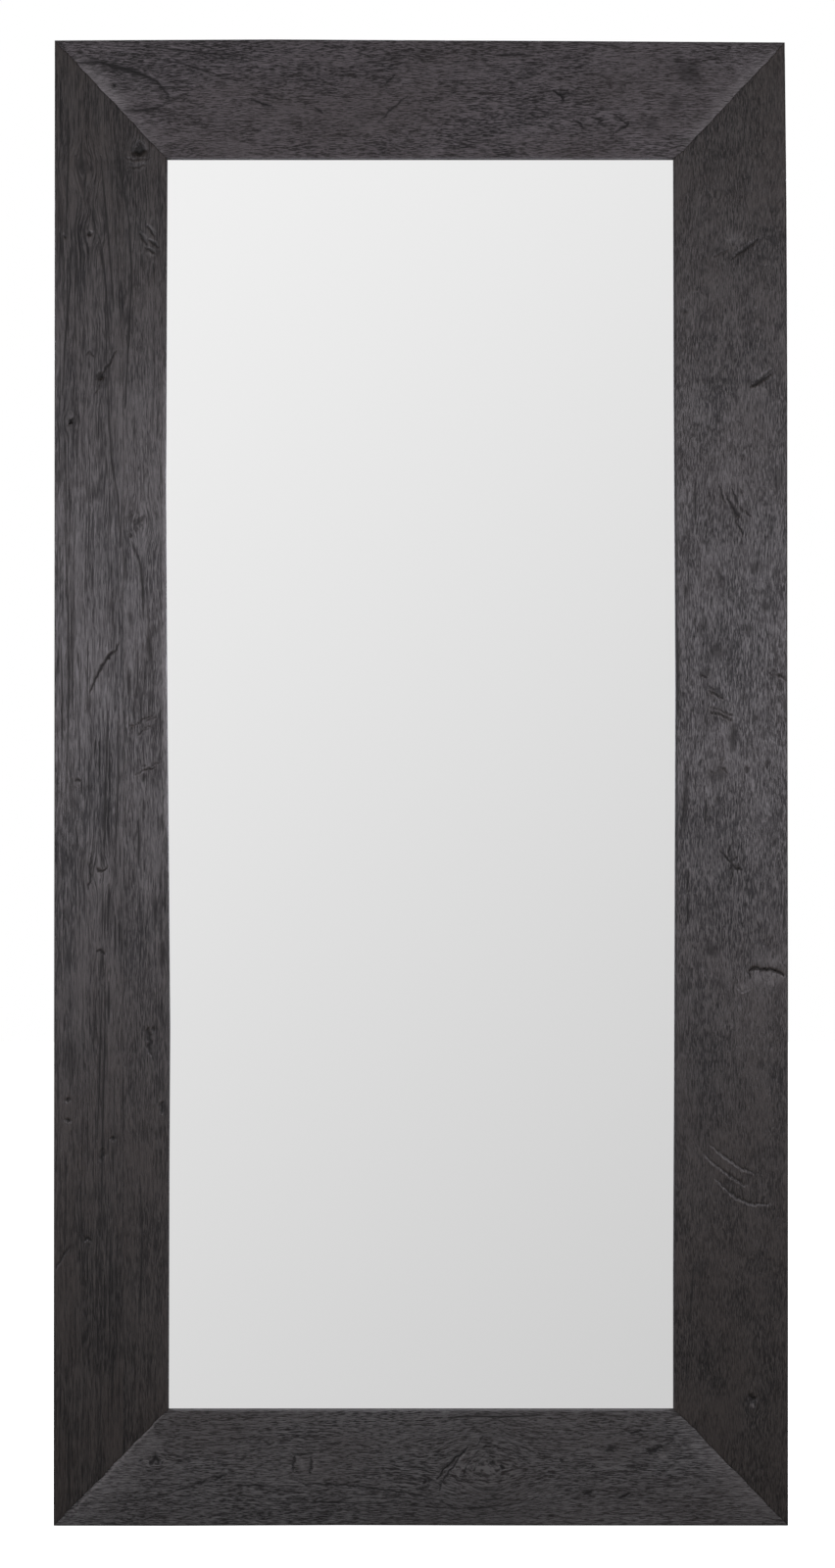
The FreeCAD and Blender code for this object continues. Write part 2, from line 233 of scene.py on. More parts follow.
@dataclass(frozen=True)
class StainedWood:
    """Solid acacia, planed by hand, stained black and thinly waxed.

    The finest fibres are drawn a little wider than they are, so that they still show.
    """

    # Black-stained acacia gives the eye a charcoal board, darker in its pores and softer bands, mottled by
    # broad clouds of stain, with a sheen that the fibres throw across the grain.
    name: str
    run: GrainRun
    layers: Layers
    pores: Layers
    deep: str = "#060301"
    pale: str = "#2c2825"
    warm: str = "#1e1814"
    # The near-black of the marks: the wood's own dark in stains, knots, growth lines, pores and joints, and
    # painted shade in the hollows of cracks, pits, dents and gouges.
    pit: str = "#040301"
    # The light colour of rubbed wear, which the same marks also use to paint highlights and sheen.
    wear_and_sheen_tone: str = "#5c5856"
    middle: float = 0.5
    warm_share: float = 0.4
    wander_size: float = 140.0
    wander_reach: float = 7.0
    wander_detail: float = 2.0
    coarseness: float = 0.6
    sheen: float = 0.26
    smooth: float = 0.46
    rough: float = 0.72
    open_grain: float = 0.95
    anisotropy: float = 0.6
    lively: float = 1.3
    calm: float = 0.86
    cloud_size: float = 15.0

    def bent_place(self, tree: Tree) -> Socket:
        """Finds the place in the grain, which bends round knots and wanders a little.

        Args:
            tree: the material's node tree.

        Returns:
            The place.
        """
        bend = add_node(tree, "ShaderNodeAttribute", attribute_name="bend").outputs["Vector"]
        inputs = {0: object_place(tree), 1: bend}
        bent = add_node(tree, "ShaderNodeVectorMath", inputs, operation="ADD").outputs[0]
        sway = noise(tree, bent, (self.wander_size,) * 3, self.wander_detail).outputs["Color"]
        inputs = {0: sway, 1: (self.wander_reach * MM,) * 3, 2: bent}
        return add_node(tree, "ShaderNodeVectorMath", inputs, operation="MULTIPLY_ADD").outputs[0]

    def pattern(self, tree: Tree, layer: GrainLayer, place: Socket) -> Socket:
        """Adds one pattern of the grain.

        Args:
            tree: the material's node tree.
            layer: the pattern.
            place: the place in the grain.

        Returns:
            The pattern's strength, from 0 to 1.
        """
        wide, long = layer.across, layer.along
        sizes = (wide, wide, long) if self.run is GrainRun.UPRIGHT else (long, wide, wide)
        field = noise(tree, place, sizes, layer.detail, self.coarseness).outputs[0]
        return remap(tree, field, layer.middle - layer.window, layer.middle + layer.window, ease=True)

    def weave(self, tree: Tree, place: Socket) -> tuple[Socket, Socket, Socket, Socket]:
        """Lays the fibres over the clouds of stain.

        Args:
            tree: the material's node tree.
            place: the place in the grain.

        Returns:
            The tone, the fibres' height in millimetres, the broadest cloud, and how lively the fibres are.
        """
        fibres = [layer for layer in self.layers if layer.across < self.cloud_size]
        stains = [layer for layer in self.layers if layer.across >= self.cloud_size]
        fine: Socket | float = -sum(layer.gain for layer in fibres) / 2
        slow: Socket | float = self.middle - sum(layer.gain for layer in stains) / 2
        rise: Socket | float = 0.0
        for layer in fibres:
            field = self.pattern(tree, layer, place)
            fine = reckon(tree, "MULTIPLY_ADD", field, layer.gain, fine)
            rise = reckon(tree, "MULTIPLY_ADD", field, layer.relief, rise)
        fields = [self.pattern(tree, layer, place) for layer in stains]
        for layer, field in zip(stains, fields):
            slow = reckon(tree, "MULTIPLY_ADD", field, layer.gain, slow)
        life = remap(tree, fields[0], 0.0, 1.0, self.lively, self.calm)
        return reckon(tree, "MULTIPLY_ADD", fine, life, slow), rise, fields[-1], life

    def build(self) -> bpy.types.Material:
        """Makes the board's material.

        Returns:
            The material.
        """
        material, tree, shader = new_material(self.name)
        place = self.bent_place(tree)
        tone, rise, broad, life = self.weave(tree, place)
        # Marks darken the stain; in cracks, pits, dents and gouges that dark is partly painted shade.
        stain_and_hollow_shade = kept_value(tree, "mark")
        for layer in self.pores:
            pore = self.pattern(tree, layer, place)
            rise = reckon(tree, "MULTIPLY_ADD", pore, -layer.relief, rise)
            sunk = reckon(tree, "MULTIPLY", reckon(tree, "MULTIPLY", pore, layer.gain), life)
            stain_and_hollow_shade = reckon(tree, "MAXIMUM", stain_and_hollow_shade, sunk)
        shade = blend(tree, tone, self.deep, self.pale)
        warmed = blend(tree, reckon(tree, "MULTIPLY", broad, self.warm_share), shade, self.warm)
        # Rub marks lighten the stain: real wear, and painted sheen and painted highlights.
        worn_and_sheened = blend(tree, kept_value(tree, "rub"), warmed, self.wear_and_sheen_tone)
        height = reckon(tree, "MULTIPLY", rise, life)
        relief = {"Distance": MM, "Height": height, "Strength": kept_value(tree, "relief")}
        wax = remap(tree, tone, 0.0, 1.0, self.rough, self.smooth)
        dull = add_node(tree, "ShaderNodeMix", {0: stain_and_hollow_shade, 2: wax, 3: self.open_grain}, data_type="FLOAT")
        across = add_node(tree, "ShaderNodeTangent", direction_type="UV_MAP", uv_map="grain")
        looks = {
            "Base Color": blend(tree, stain_and_hollow_shade, worn_and_sheened, self.pit),
            "Normal": add_node(tree, "ShaderNodeBump", relief).outputs[0],
            "Roughness": dull.outputs[0],
            "Tangent": across.outputs[0],
            "Specular IOR Level": self.sheen,
            "Anisotropic": self.anisotropy,
        }
        feed(tree, shader, looks)
        return material


RAIL_GRAIN = (
    GrainLayer(0.95, 8.0, 0.84, window=0.11, relief=0.16, detail=2.0),
    GrainLayer(1.6, 16.0, 0.36, relief=0.2),
    GrainLayer(4.5, 60.0, 0.22, relief=0.1),
    GrainLayer(26.0, 60.0, 0.26, detail=4.0),
    GrainLayer(110.0, 230.0, 0.2),
)
DASHED_GRAIN = (
    GrainLayer(0.95, 9.0, 0.86, window=0.12, relief=0.2, detail=2.0),
    GrainLayer(1.6, 19.0, 0.36, relief=0.2),
    GrainLayer(4.0, 60.0, 0.22, relief=0.1),
    GrainLayer(24.0, 90.0, 0.16, detail=4.0),
    GrainLayer(110.0, 260.0, 0.16),
)
STILE_GRAIN = (
    GrainLayer(0.92, 9.0, 1.0, window=0.1, relief=0.18, detail=2.0),
    GrainLayer(1.55, 22.0, 0.32, relief=0.2),
    GrainLayer(9.0, 34.0, 0.2, relief=0.1),
    GrainLayer(28.0, 46.0, 0.3, detail=4.0),
    GrainLayer(110.0, 180.0, 0.25),
)
INNER_GRAIN = (
    GrainLayer(1.05, 13.0, 0.66, window=0.1, relief=0.18, detail=2.0),
    GrainLayer(1.7, 36.0, 0.36, relief=0.18),
    GrainLayer(3.2, 90.0, 0.25, relief=0.1),
    GrainLayer(28.0, 80.0, 0.28, detail=4.0),
    GrainLayer(110.0, 180.0, 0.25),
)
STREAKED_GRAIN = (
    GrainLayer(1.15, 16.0, 0.6, window=0.1, relief=0.16, detail=2.0),
    GrainLayer(2.0, 48.0, 0.32, relief=0.15),
    GrainLayer(4.0, 150.0, 0.3, relief=0.12),
    GrainLayer(18.0, 240.0, 0.25, detail=2.0),
    GrainLayer(50.0, 130.0, 0.3),
)
RAIL_PORES = (GrainLayer(1.15, 10.0, 0.6, middle=0.62, window=0.05, relief=0.15),)
DASHED_PORES = (GrainLayer(1.15, 10.0, 0.6, middle=0.63, window=0.05, relief=0.15),)
STILE_PORES = (GrainLayer(1.25, 10.0, 0.65, middle=0.61, window=0.05, relief=0.15),)
INNER_PORES = (
    GrainLayer(1.25, 13.0, 0.6, middle=0.62, window=0.05, relief=0.15),
    GrainLayer(2.0, 60.0, 0.5, middle=0.63, window=0.04, detail=2.0, relief=0.15),
)
STREAKED_PORES = (
    GrainLayer(1.25, 16.0, 0.55, middle=0.62, window=0.05, relief=0.15),
    GrainLayer(2.4, 120.0, 0.6, middle=0.62, window=0.04, detail=2.0, relief=0.2),
)


@dataclass(frozen=True)
class Cloud:
    """One cloudy pattern in a finish: its size in millimetres, and the part of its range that shows."""

    size: float
    detail: float
    window: tuple[float, float] = (0.0, 1.0)
    gain: float = 1.0
    stretch: float = 1.0

    def field(self, tree: Tree) -> Socket:
        """Adds the pattern to a material's node tree and gives its strength, from 0 to 1."""
        sizes = (self.size, self.size, self.size * self.stretch)
        return remap(tree, noise(tree, object_place(tree), sizes, self.detail).outputs[0], *self.window)


@dataclass(frozen=True)
class CloudedFinish:
    """A finish whose colour, gloss and relief follow cloudy patterns of a real size."""

    name: str
    first: str
    second: str
    roughness: tuple[float, float]
    tones: tuple[Cloud, ...] = ()
    gloss: Cloud | None = None
    relief: Cloud | None = None
    ground: float = 0.0
    relief_height: float = 0.0
    relief_share: float = 0.0
    metallic: float = 0.0

    def build(self) -> bpy.types.Material:
        """Makes the material.

        Returns:
            The material.
        """
        material, tree, shader = new_material(self.name)
        looks = {"Base Color": self.first, "Roughness": self.roughness[0], "Metallic": self.metallic}
        tone: Socket | float = self.ground
        for cloud in self.tones:
            tone = reckon(tree, "MULTIPLY_ADD", cloud.field(tree), cloud.gain, tone)
        if self.tones:
            looks["Base Color"] = blend(tree, tone, self.first, self.second)
        if self.gloss:
            looks["Roughness"] = remap(tree, self.gloss.field(tree), 0.0, 1.0, *self.roughness)
        if self.relief:
            height = self.relief.field(tree)
            bump = {"Strength": self.relief_share, "Distance": self.relief_height * MM, "Height": height}
            looks["Normal"] = add_node(tree, "ShaderNodeBump", bump).outputs[0]
        feed(tree, shader, looks)
        return material


# Silver behind clear glass gives the eye a sharp, slightly dimmed picture of the room, with a faint haze.
SILVERED_GLASS = CloudedFinish(
    "silvered_float_glass",
    "#f7f7f7",
    "#f7f7f7",
    (0.0, 0.02),
    gloss=Cloud(260.0, 3.0, (0.3, 0.8)),
    metallic=1.0,
)
# Pressed fibre gives the eye a matt brown sheet of matted hairs, clouded here and there, with dark specks.
HARDBOARD = CloudedFinish(
    "hardboard",
    "#553c28",
    "#7d5c3e",
    (0.7, 0.7),
    (
        Cloud(120.0, 3.0, (0.3, 0.7), 0.35),
        Cloud(1.3, 3.0, (0.2, 0.8), 0.4),
        Cloud(2.2, 1.0, (0.68, 0.74), -0.5),
    ),
    relief=Cloud(1.3, 3.0, (0.2, 0.8)),
    ground=0.4,
    relief_height=0.1,
    relief_share=0.5,
)
# Zinc plating gives the eye a bright, slightly blotched grey whose small spangles catch the light.
ZINC_STEEL = CloudedFinish(
    "zinc_plated_steel",
    "#8f9395",
    "#b4b7b8",
    (0.5, 0.36),
    (Cloud(4.0, 4.0, (0.35, 0.65)),),
    gloss=Cloud(4.0, 4.0, (0.3, 0.7)),
    relief=Cloud(4.0, 4.0),
    relief_height=0.05,
    relief_share=0.25,
    metallic=1.0,
)
# Moulded rubber gives the eye a matt black that is slightly grey where it has bloomed.
MOULDED_RUBBER = CloudedFinish("moulded_rubber", "#1b1b1c", "#2e2e30", (0.62, 0.62), (Cloud(5.0, 4.0),))
# Bare beech gives the eye a pale brown with short darker flecks along the grain.
RAW_BEECH = CloudedFinish(
    "planed_beech", "#b58f66", "#8d6642", (0.65, 0.65), (Cloud(10 / 9, 3.0, stretch=10.0),)
)


@dataclass(frozen=True)
class FaceLines:
    """Where the frame's lines stand, in metres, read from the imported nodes."""

    left: float
    right: float
    bottom: float
    top: float
    seam: float
    inner_left: float
    inner_right: float
    inner_bottom: float
    inner_top: float
    front: float
    back: float
    lip_back: float
    ledge: float
    glass: tuple[Vector, Vector]
    panel: tuple[Vector, Vector]

    @classmethod
    def from_nodes(cls) -> FaceLines:
        """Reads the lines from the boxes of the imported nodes.

        Returns:
            The lines.
        """
        outer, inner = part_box("left_stile_outer_strip"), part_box("left_stile_inner_strip")
        stile, low_rail, high_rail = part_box("right_stile"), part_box("bottom_rail"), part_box("top_rail")
        glass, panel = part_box("mirror_glass"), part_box("backing_panel")
        return cls(
            left=outer[0][0],
            right=stile[1][0],
            bottom=low_rail[0][2],
            top=high_rail[1][2],
            seam=outer[1][0],
            inner_left=inner[1][0],
            inner_right=stile[0][0],
            inner_bottom=low_rail[1][2],
            inner_top=high_rail[0][2],
            front=stile[0][1],
            back=stile[1][1],
            lip_back=glass[0][1],
            ledge=glass[1][1],
            glass=(Vector(glass[0]), Vector(glass[1])),
            panel=(Vector(panel[0]), Vector(panel[1])),
        )

    def corner(self, right: bool, top: bool) -> tuple[Vector, Vector]:
        """Finds the ends of one mitre.

        Args:
            right: whether the corner is on the right.
            top: whether it is at the top.

        Returns:
            The mitre's outer and inner end.
        """
        x = (self.right, self.inner_right) if right else (self.left, self.inner_left)
        z = (self.top, self.inner_top) if top else (self.bottom, self.inner_bottom)
        return Vector((x[0], 0, z[0])), Vector((x[1], 0, z[1]))


class MarkKind(Enum):
    """What a mark on a board is."""

    CRACK = "crack"
    GOUGE = "gouge"
    DENT = "dent"
    PIT = "pit"
    KNOT = "knot"
    LINE = "growth line"
    STAIN = "stain"
    # Lighter rubbed wear, also used for painted highlights on lips, mitres and arrises, and for painted sheen
    # lines.
    RUB = "rub"
    SWIRL = "swirl of the grain"


FLAT_KINDS = (MarkKind.STAIN, MarkKind.RUB, MarkKind.SWIRL)
STEADY_KINDS = (MarkKind.LINE, MarkKind.KNOT)
CORE_REACH = 1.1
LIP_REACH = 2.2
FINE_MARGIN = 2.0
FAR_AWAY = 1e9
SHORTEST_STEP = 1e-4


@dataclass(frozen=True)
class Mark:
    """One mark on a board's face.

    The path runs in millimetres from the middle of the frame's bottom edge: across, then up.
    """

    kind: MarkKind
    width: float
    depth: float
    path: Path
    tone: float = 0.8
    taper: float = 0.75

    def reach(self, x: np.ndarray, z: np.ndarray) -> tuple[np.ndarray, np.ndarray, np.ndarray]:
        """Measures points against the path.

        Args:
            x: the points' places across, in millimetres.
            z: their heights, in millimetres.

        Returns:
            Each point's distance from the path, its height above the nearest point of the path, and how full
            the mark is there, which falls towards the path's ends.
        """
        best = np.full(x.shape, FAR_AWAY)
        above, passed = np.zeros(x.shape), np.zeros(x.shape)
        done = 0.0
        for (ax, az), (bx, bz) in zip(self.path, self.path[1:] or self.path):
            dx, dz = bx - ax, bz - az
            length = max(math.hypot(dx, dz), SHORTEST_STEP)
            share = np.clip(((x - ax) * dx + (z - az) * dz) / length**2, 0, 1)
            off_x, off_z = x - ax - share * dx, z - az - share * dz
            gap = np.hypot(off_x, off_z)
            nearer = gap < best
            best = np.where(nearer, gap, best)
            above = np.where(nearer, off_z, above)
            passed = np.where(nearer, done + share * length, passed)
            done += length
        if len(self.path) == 1:
            return best, above, np.ones(x.shape)
        full = 1 - self.taper * (1 - np.sqrt(np.sin(np.pi * np.clip(passed / done, 0.0, 1.0)).clip(0, 1)))
        return best, above, full

    def near(self, x: np.ndarray, z: np.ndarray) -> np.ndarray:
        """Tells which points lie close enough to need a finer mesh.

        Args:
            x: the points' places across, in millimetres.
            z: their heights, in millimetres.

        Returns:
            Whether each point does.
        """
        if self.kind in FLAT_KINDS:
            return np.zeros(x.shape, bool)
        reach = LIP_REACH if self.kind is MarkKind.GOUGE else CORE_REACH
        return self.reach(x, z)[0] < self.width * reach + FINE_MARGIN


def marks_of(kind: MarkKind, *rows: tuple[Any, ...]) -> tuple[Mark, ...]:
    """Makes the marks of one kind on a board.

    Args:
        kind: what they are.
        rows: each mark's width, depth, path and, where they aren't the usual ones, its tone and taper. The
            kinds that aren't cut into the wood have no depth in their rows.

    Returns:
        The marks.
    """
    if kind in FLAT_KINDS:
        return tuple(Mark(kind, width, 0.0, *rest) for width, *rest in rows)
    return tuple(Mark(kind, *row) for row in rows)


@dataclass(frozen=True)
class HandWander:
    """How far the planed edges stray from straight, in millimetres, as pairs of a place and a shift."""

    left: Path = ((0, -1.0), (900, 0.0), (1824, 0.6))
    right: Path = ((0, 0.9), (700, 0.8), (1050, 0.1), (1400, 0.0), (1630, -1.1), (1824, -3.2))
    top: Path = ((-450, -0.3), (-180, 1.0), (0, 0.0), (150, -0.8), (450, -2.8))
    bottom: Path = ((-450, 0.2), (-310, 0.0), (-95, 0.9), (100, 0.4), (450, 0.3))
    inner_left: Path = (
        (143, 1.2), (430, 1.9), (610, 2.9), (790, 1.5), (1030, -0.7), (1270, -2.1), (1678, -0.4)
    )
    inner_right: Path = ((143, -1.8), (310, -1.8), (550, -0.6), (1030, 0.9), (1390, -1.2), (1678, -1.9))
    inner_top: Path = ((-312, 1.3), (313, 1.3))
    inner_bottom: Path = ((-312, -1.3), (313, -1.3))
    outer_fade: float = 90.0
    inner_fade: float = 11.0
    lip_slack: float = 0.5
    mitre_sway: float = 0.35
    mitre_fade: float = 14.0
    # Each wave along a mitre: its strength, its length, where it starts, and how that differs by corner.
    mitre_waves: tuple[tuple[float, float, float, float], ...] = (
        (1.0, 6.1, 0.0, 0.0),
        (0.8, 13.7, 2.0, 0.0),
        (0.5, 2.7, 0.0, 9.0),
    )

    def move(self, points: np.ndarray, lines: FaceLines) -> np.ndarray:
        """Shifts points with the edges they lie near, the same for every board, so that joints stay shut.

        Args:
            points: the vertices, in metres.
            lines: the frame's lines.

        Returns:
            The shifted vertices.
        """
        moved = points.copy()
        x, y, z = points[:, 0] / MM, points[:, 1], points[:, 2] / MM
        lip = y < lines.lip_back + self.lip_slack * MM
        whole = np.ones_like(lip)
        sides = (
            (self.left, z, x - lines.left / MM, 0, self.outer_fade, whole),
            (self.right, z, lines.right / MM - x, 0, self.outer_fade, whole),
            (self.bottom, x, z - lines.bottom / MM, 2, self.outer_fade, whole),
            (self.top, x, lines.top / MM - z, 2, self.outer_fade, whole),
            (self.inner_left, z, lines.inner_left / MM - x, 0, self.inner_fade, lip),
            (self.inner_right, z, x - lines.inner_right / MM, 0, self.inner_fade, lip),
            (self.inner_bottom, x, lines.inner_bottom / MM - z, 2, self.inner_fade, lip),
            (self.inner_top, x, z - lines.inner_top / MM, 2, self.inner_fade, lip),
        )
        for table, place, distance, axis, fade, where in sides:
            shift = np.interp(place, [p for p, _ in table], [s for _, s in table])
            moved[:, axis] += shift * np.clip(1 - np.abs(distance) / fade, 0, 1) * where * MM
        for outer, inner in (lines.corner(right, top) for right in (False, True) for top in (False, True)):
            run = np.array(inner - outer)[[0, 2]] / MM
            length = float(np.hypot(*run))
            run /= length
            off_x, off_z = x - outer.x / MM, z - outer.z / MM
            passed, gap = off_x * run[0] + off_z * run[1], off_x * run[1] - off_z * run[0]
            sway = sum(
                strength * np.sin(passed / size + start + shift * outer.x)
                for strength, size, start, shift in self.mitre_waves
            )
            held = np.clip(np.minimum(passed, length - passed) / self.mitre_fade, 0, 1)
            held *= np.clip(1 - np.abs(gap) / self.mitre_fade, 0, 1) * (y < lines.lip_back)
            for axis, way in ((0, run[1]), (2, -run[0])):
                moved[:, axis] += self.mitre_sway * sway * held * way * MM
        return moved


TOP_RAIL_MARKS = (
    *marks_of(
        MarkKind.LINE,
        (5.4, 0.8, ((-424, 1796), (-396, 1797), (-372, 1791), (-345, 1783), (-324, 1773), (-310, 1757),
            (-309, 1749)), 0.95, 0.6),
        (3.6, 0.6, ((-368, 1737), (-340, 1738), (-318, 1743), (-309, 1750)), 0.85),
        (2.6, 0.4, ((-352, 1741), (-338, 1745), (-330, 1743)), 0.6),
        (2.4, 0.3, ((-352, 1818), (-300, 1812), (-250, 1806), (-212, 1806)), 0.75),
        (2.4, 0.3, ((-332, 1803), (-290, 1794), (-255, 1783), (-228, 1774)), 0.7),
        (2.2, 0.4, ((138, 1760), (163, 1762)), 0.6),
    ),
    *marks_of(
        MarkKind.PIT,
        (5.3, 2.2, ((-378, 1770), (-374, 1767)), 1.0), (3.6, 1.4, ((-380, 1785), (-376, 1785)), 0.8),
        (4.4, 1.6, ((169, 1760), (173, 1757)), 0.95),
    ),
    *marks_of(
        MarkKind.RUB,
        # Lighter bands along both mitres, with a faint patch beside the left one, are painted highlights where
        # the rail catches the light.
        (26.0, ((-420, 1792), (-368, 1743)), 0.42, 0.3), (18.0, ((-372, 1742), (-318, 1690)), 0.14, 0.3),
        (30.0, ((-360, 1772), (-336, 1762)), 0.07, 0.3), (26.0, ((332, 1696), (436, 1806)), 0.26, 0.3),
    ),
    *marks_of(
        MarkKind.CRACK,
        (2.8, 0.7, ((-194, 1756), (-181, 1758)), 0.7), (3.4, 1.0, ((-209, 1751), (-181, 1742)), 1.0),
        (3.6, 1.1, ((-130, 1741), (-119, 1734)), 0.9), (2.9, 0.6, ((-46, 1768), (-31, 1782)), 0.9),
        (2.9, 0.6, ((-53, 1722), (-34, 1741), (-16, 1756)), 0.85),
        (3.6, 1.1, ((92, 1806), (116, 1807), (140, 1806)), 0.9),
        (3.4, 1.4, ((162, 1763), (167, 1760), (172, 1757)), 1.0, 0.5),
        (3.2, 1.3, ((171, 1757), (176, 1758), (183, 1760)), 1.0, 0.5),
        (3.2, 1.3, ((171, 1757), (174, 1753), (175, 1749)), 1.0, 0.5),
        (3.4, 0.8, ((186, 1726), (195, 1722), (200, 1716)), 0.85),
        (3.4, 0.8, ((212, 1729), (222, 1725), (214, 1718)), 0.85),
        (3.4, 0.8, ((238, 1732), (255, 1721), (236, 1709)), 0.9, 0.5),
    ),
    *marks_of(
        MarkKind.STAIN,
        (42.0, ((318, 1778), (338, 1794)), 0.55), (30.0, ((306, 1748), (318, 1742)), 0.45),
        (24.0, ((276, 1722), (290, 1716)), 0.5),
    ),
)

BOTTOM_RAIL_MARKS = (
    *marks_of(
        MarkKind.KNOT,
        (9.0, 0.8, ((-327, 80),), 0.6),
    ),
    *marks_of(
        MarkKind.PIT,
        (7.2, 2.0, ((-331, 77), (-326, 84), (-323, 78)), 0.95, 0.3),
        (4.8, 1.1, ((-346, 79), (-342, 82)), 0.7), (7.2, 2.0, ((85, 79), (91, 76)), 0.95),
        (6.5, 2.0, ((97, 73), (102, 70)), 0.95), (6.0, 1.4, ((2, 52), (7, 56)), 0.9),
        (7.2, 1.1, ((170, 80), (175, 81)), 0.75), (5.4, 1.6, ((199, 37), (205, 41), (211, 43)), 1.0),
        (5.4, 1.6, ((244, 33), (250, 37), (257, 40)), 1.0),
    ),
    *marks_of(
        MarkKind.RUB,
        # Painted highlights along both mitres and on the lips beside the cracks and the dent, and painted
        # sheen lines round the swirl.
        (3.4, ((-432, 11), (-318, 136)), 0.55, 0.3), (34.0, ((-410, 20), (-330, 100)), 0.14, 0.3),
        (4.0, ((-146, 82), (-147, 68)), 0.25), (3.0, ((-130, 84), (-132, 66)), 0.25),
        (2.6, ((58, 93), (46, 81), (36, 71), (28, 60)), 0.3), (3.0, ((66, 94), (51, 76), (42, 52)), 0.22),
        (6.0, ((292, 87), (304, 83)), 0.4), (46.0, ((336, 118), (424, 30)), 0.2, 0.3),
    ),
    *marks_of(
        MarkKind.CRACK,
        (3.8, 1.1, ((-278, 50), (-268, 54), (-262, 58)), 0.9),
        (3.8, 1.1, ((-254, 55), (-246, 60), (-239, 63)), 0.9),
        (3.6, 1.0, ((-155, 88), (-157, 66)), 0.8, 0.4), (3.6, 1.0, ((-134, 85), (-136, 64)), 0.8, 0.4),
        (3.1, 0.8, ((-158, 89), (-145, 87), (-133, 90)), 0.75, 0.4),
        (2.8, 1.2, ((-144, 51), (-106, 50), (-76, 48), (-46, 44), (-6, 38), (24, 30)), 0.8, 0.5),
        (3.2, 1.6, ((58, 97), (54, 92), (46, 86), (37, 78), (29, 70), (24, 63), (20, 57)), 1.0, 0.5),
        (2.8, 1.3, ((50, 88), (42, 76), (34, 66), (28, 57), (24, 49), (23, 44)), 0.95, 0.5),
        (2.9, 0.8, ((78, 112), (70, 100)), 0.6), (4.3, 1.1, ((-4, 43), (10, 49)), 0.7),
        (2.6, 1.3, ((253, 114), (264, 115), (275, 117)), 1.0),
    ),
    *marks_of(
        MarkKind.LINE,
        (2.4, 0.5, ((-419, 27), (-354, 30), (-308, 40), (-283, 49), (-262, 55)), 0.6, 0.5),
        (2.6, 0.5, ((-232, 49), (-204, 50), (-178, 48)), 0.75),
        (2.6, 0.5, ((-200, 32), (-164, 28), (-120, 29), (-60, 26)), 0.6),
        (2.4, 0.5, ((-10, 24), (40, 20), (100, 24), (150, 33)), 0.5),
        (2.4, 0.5, ((90, 106), (70, 92), (56, 74), (50, 56)), 0.6),
        (2.4, 0.5, ((96, 100), (80, 90), (68, 76), (64, 62)), 0.5),
        (2.6, 0.5, ((50, 58), (66, 46), (92, 42), (116, 50)), 0.45),
        (2.6, 0.5, ((60, 92), (84, 98), (112, 92), (134, 76)), 0.4),
        (2.6, 0.4, ((34, 133), (62, 135), (100, 134), (146, 136)), 0.9, 0.5),
        (2.8, 0.4, ((74, 31), (102, 33)), 0.7),
    ),
    *marks_of(
        MarkKind.SWIRL,
        (34.0, ((78, 72),)),
    ),
    *marks_of(
        MarkKind.STAIN,
        (18.0, ((84, 43), (96, 39)), 0.45),
        # The long band only darkens the rail towards its bottom edge.
        (34.0, ((-400, 14), (-200, 12), (20, 12), (160, 16)), 0.16, 0.5),
    ),
    *marks_of(
        MarkKind.DENT,
        (9.0, 1.0, ((226, 93), (240, 97)), 0.8), (8.0, 1.6, ((278, 90), (286, 93), (296, 98)), 0.95),
    ),
)

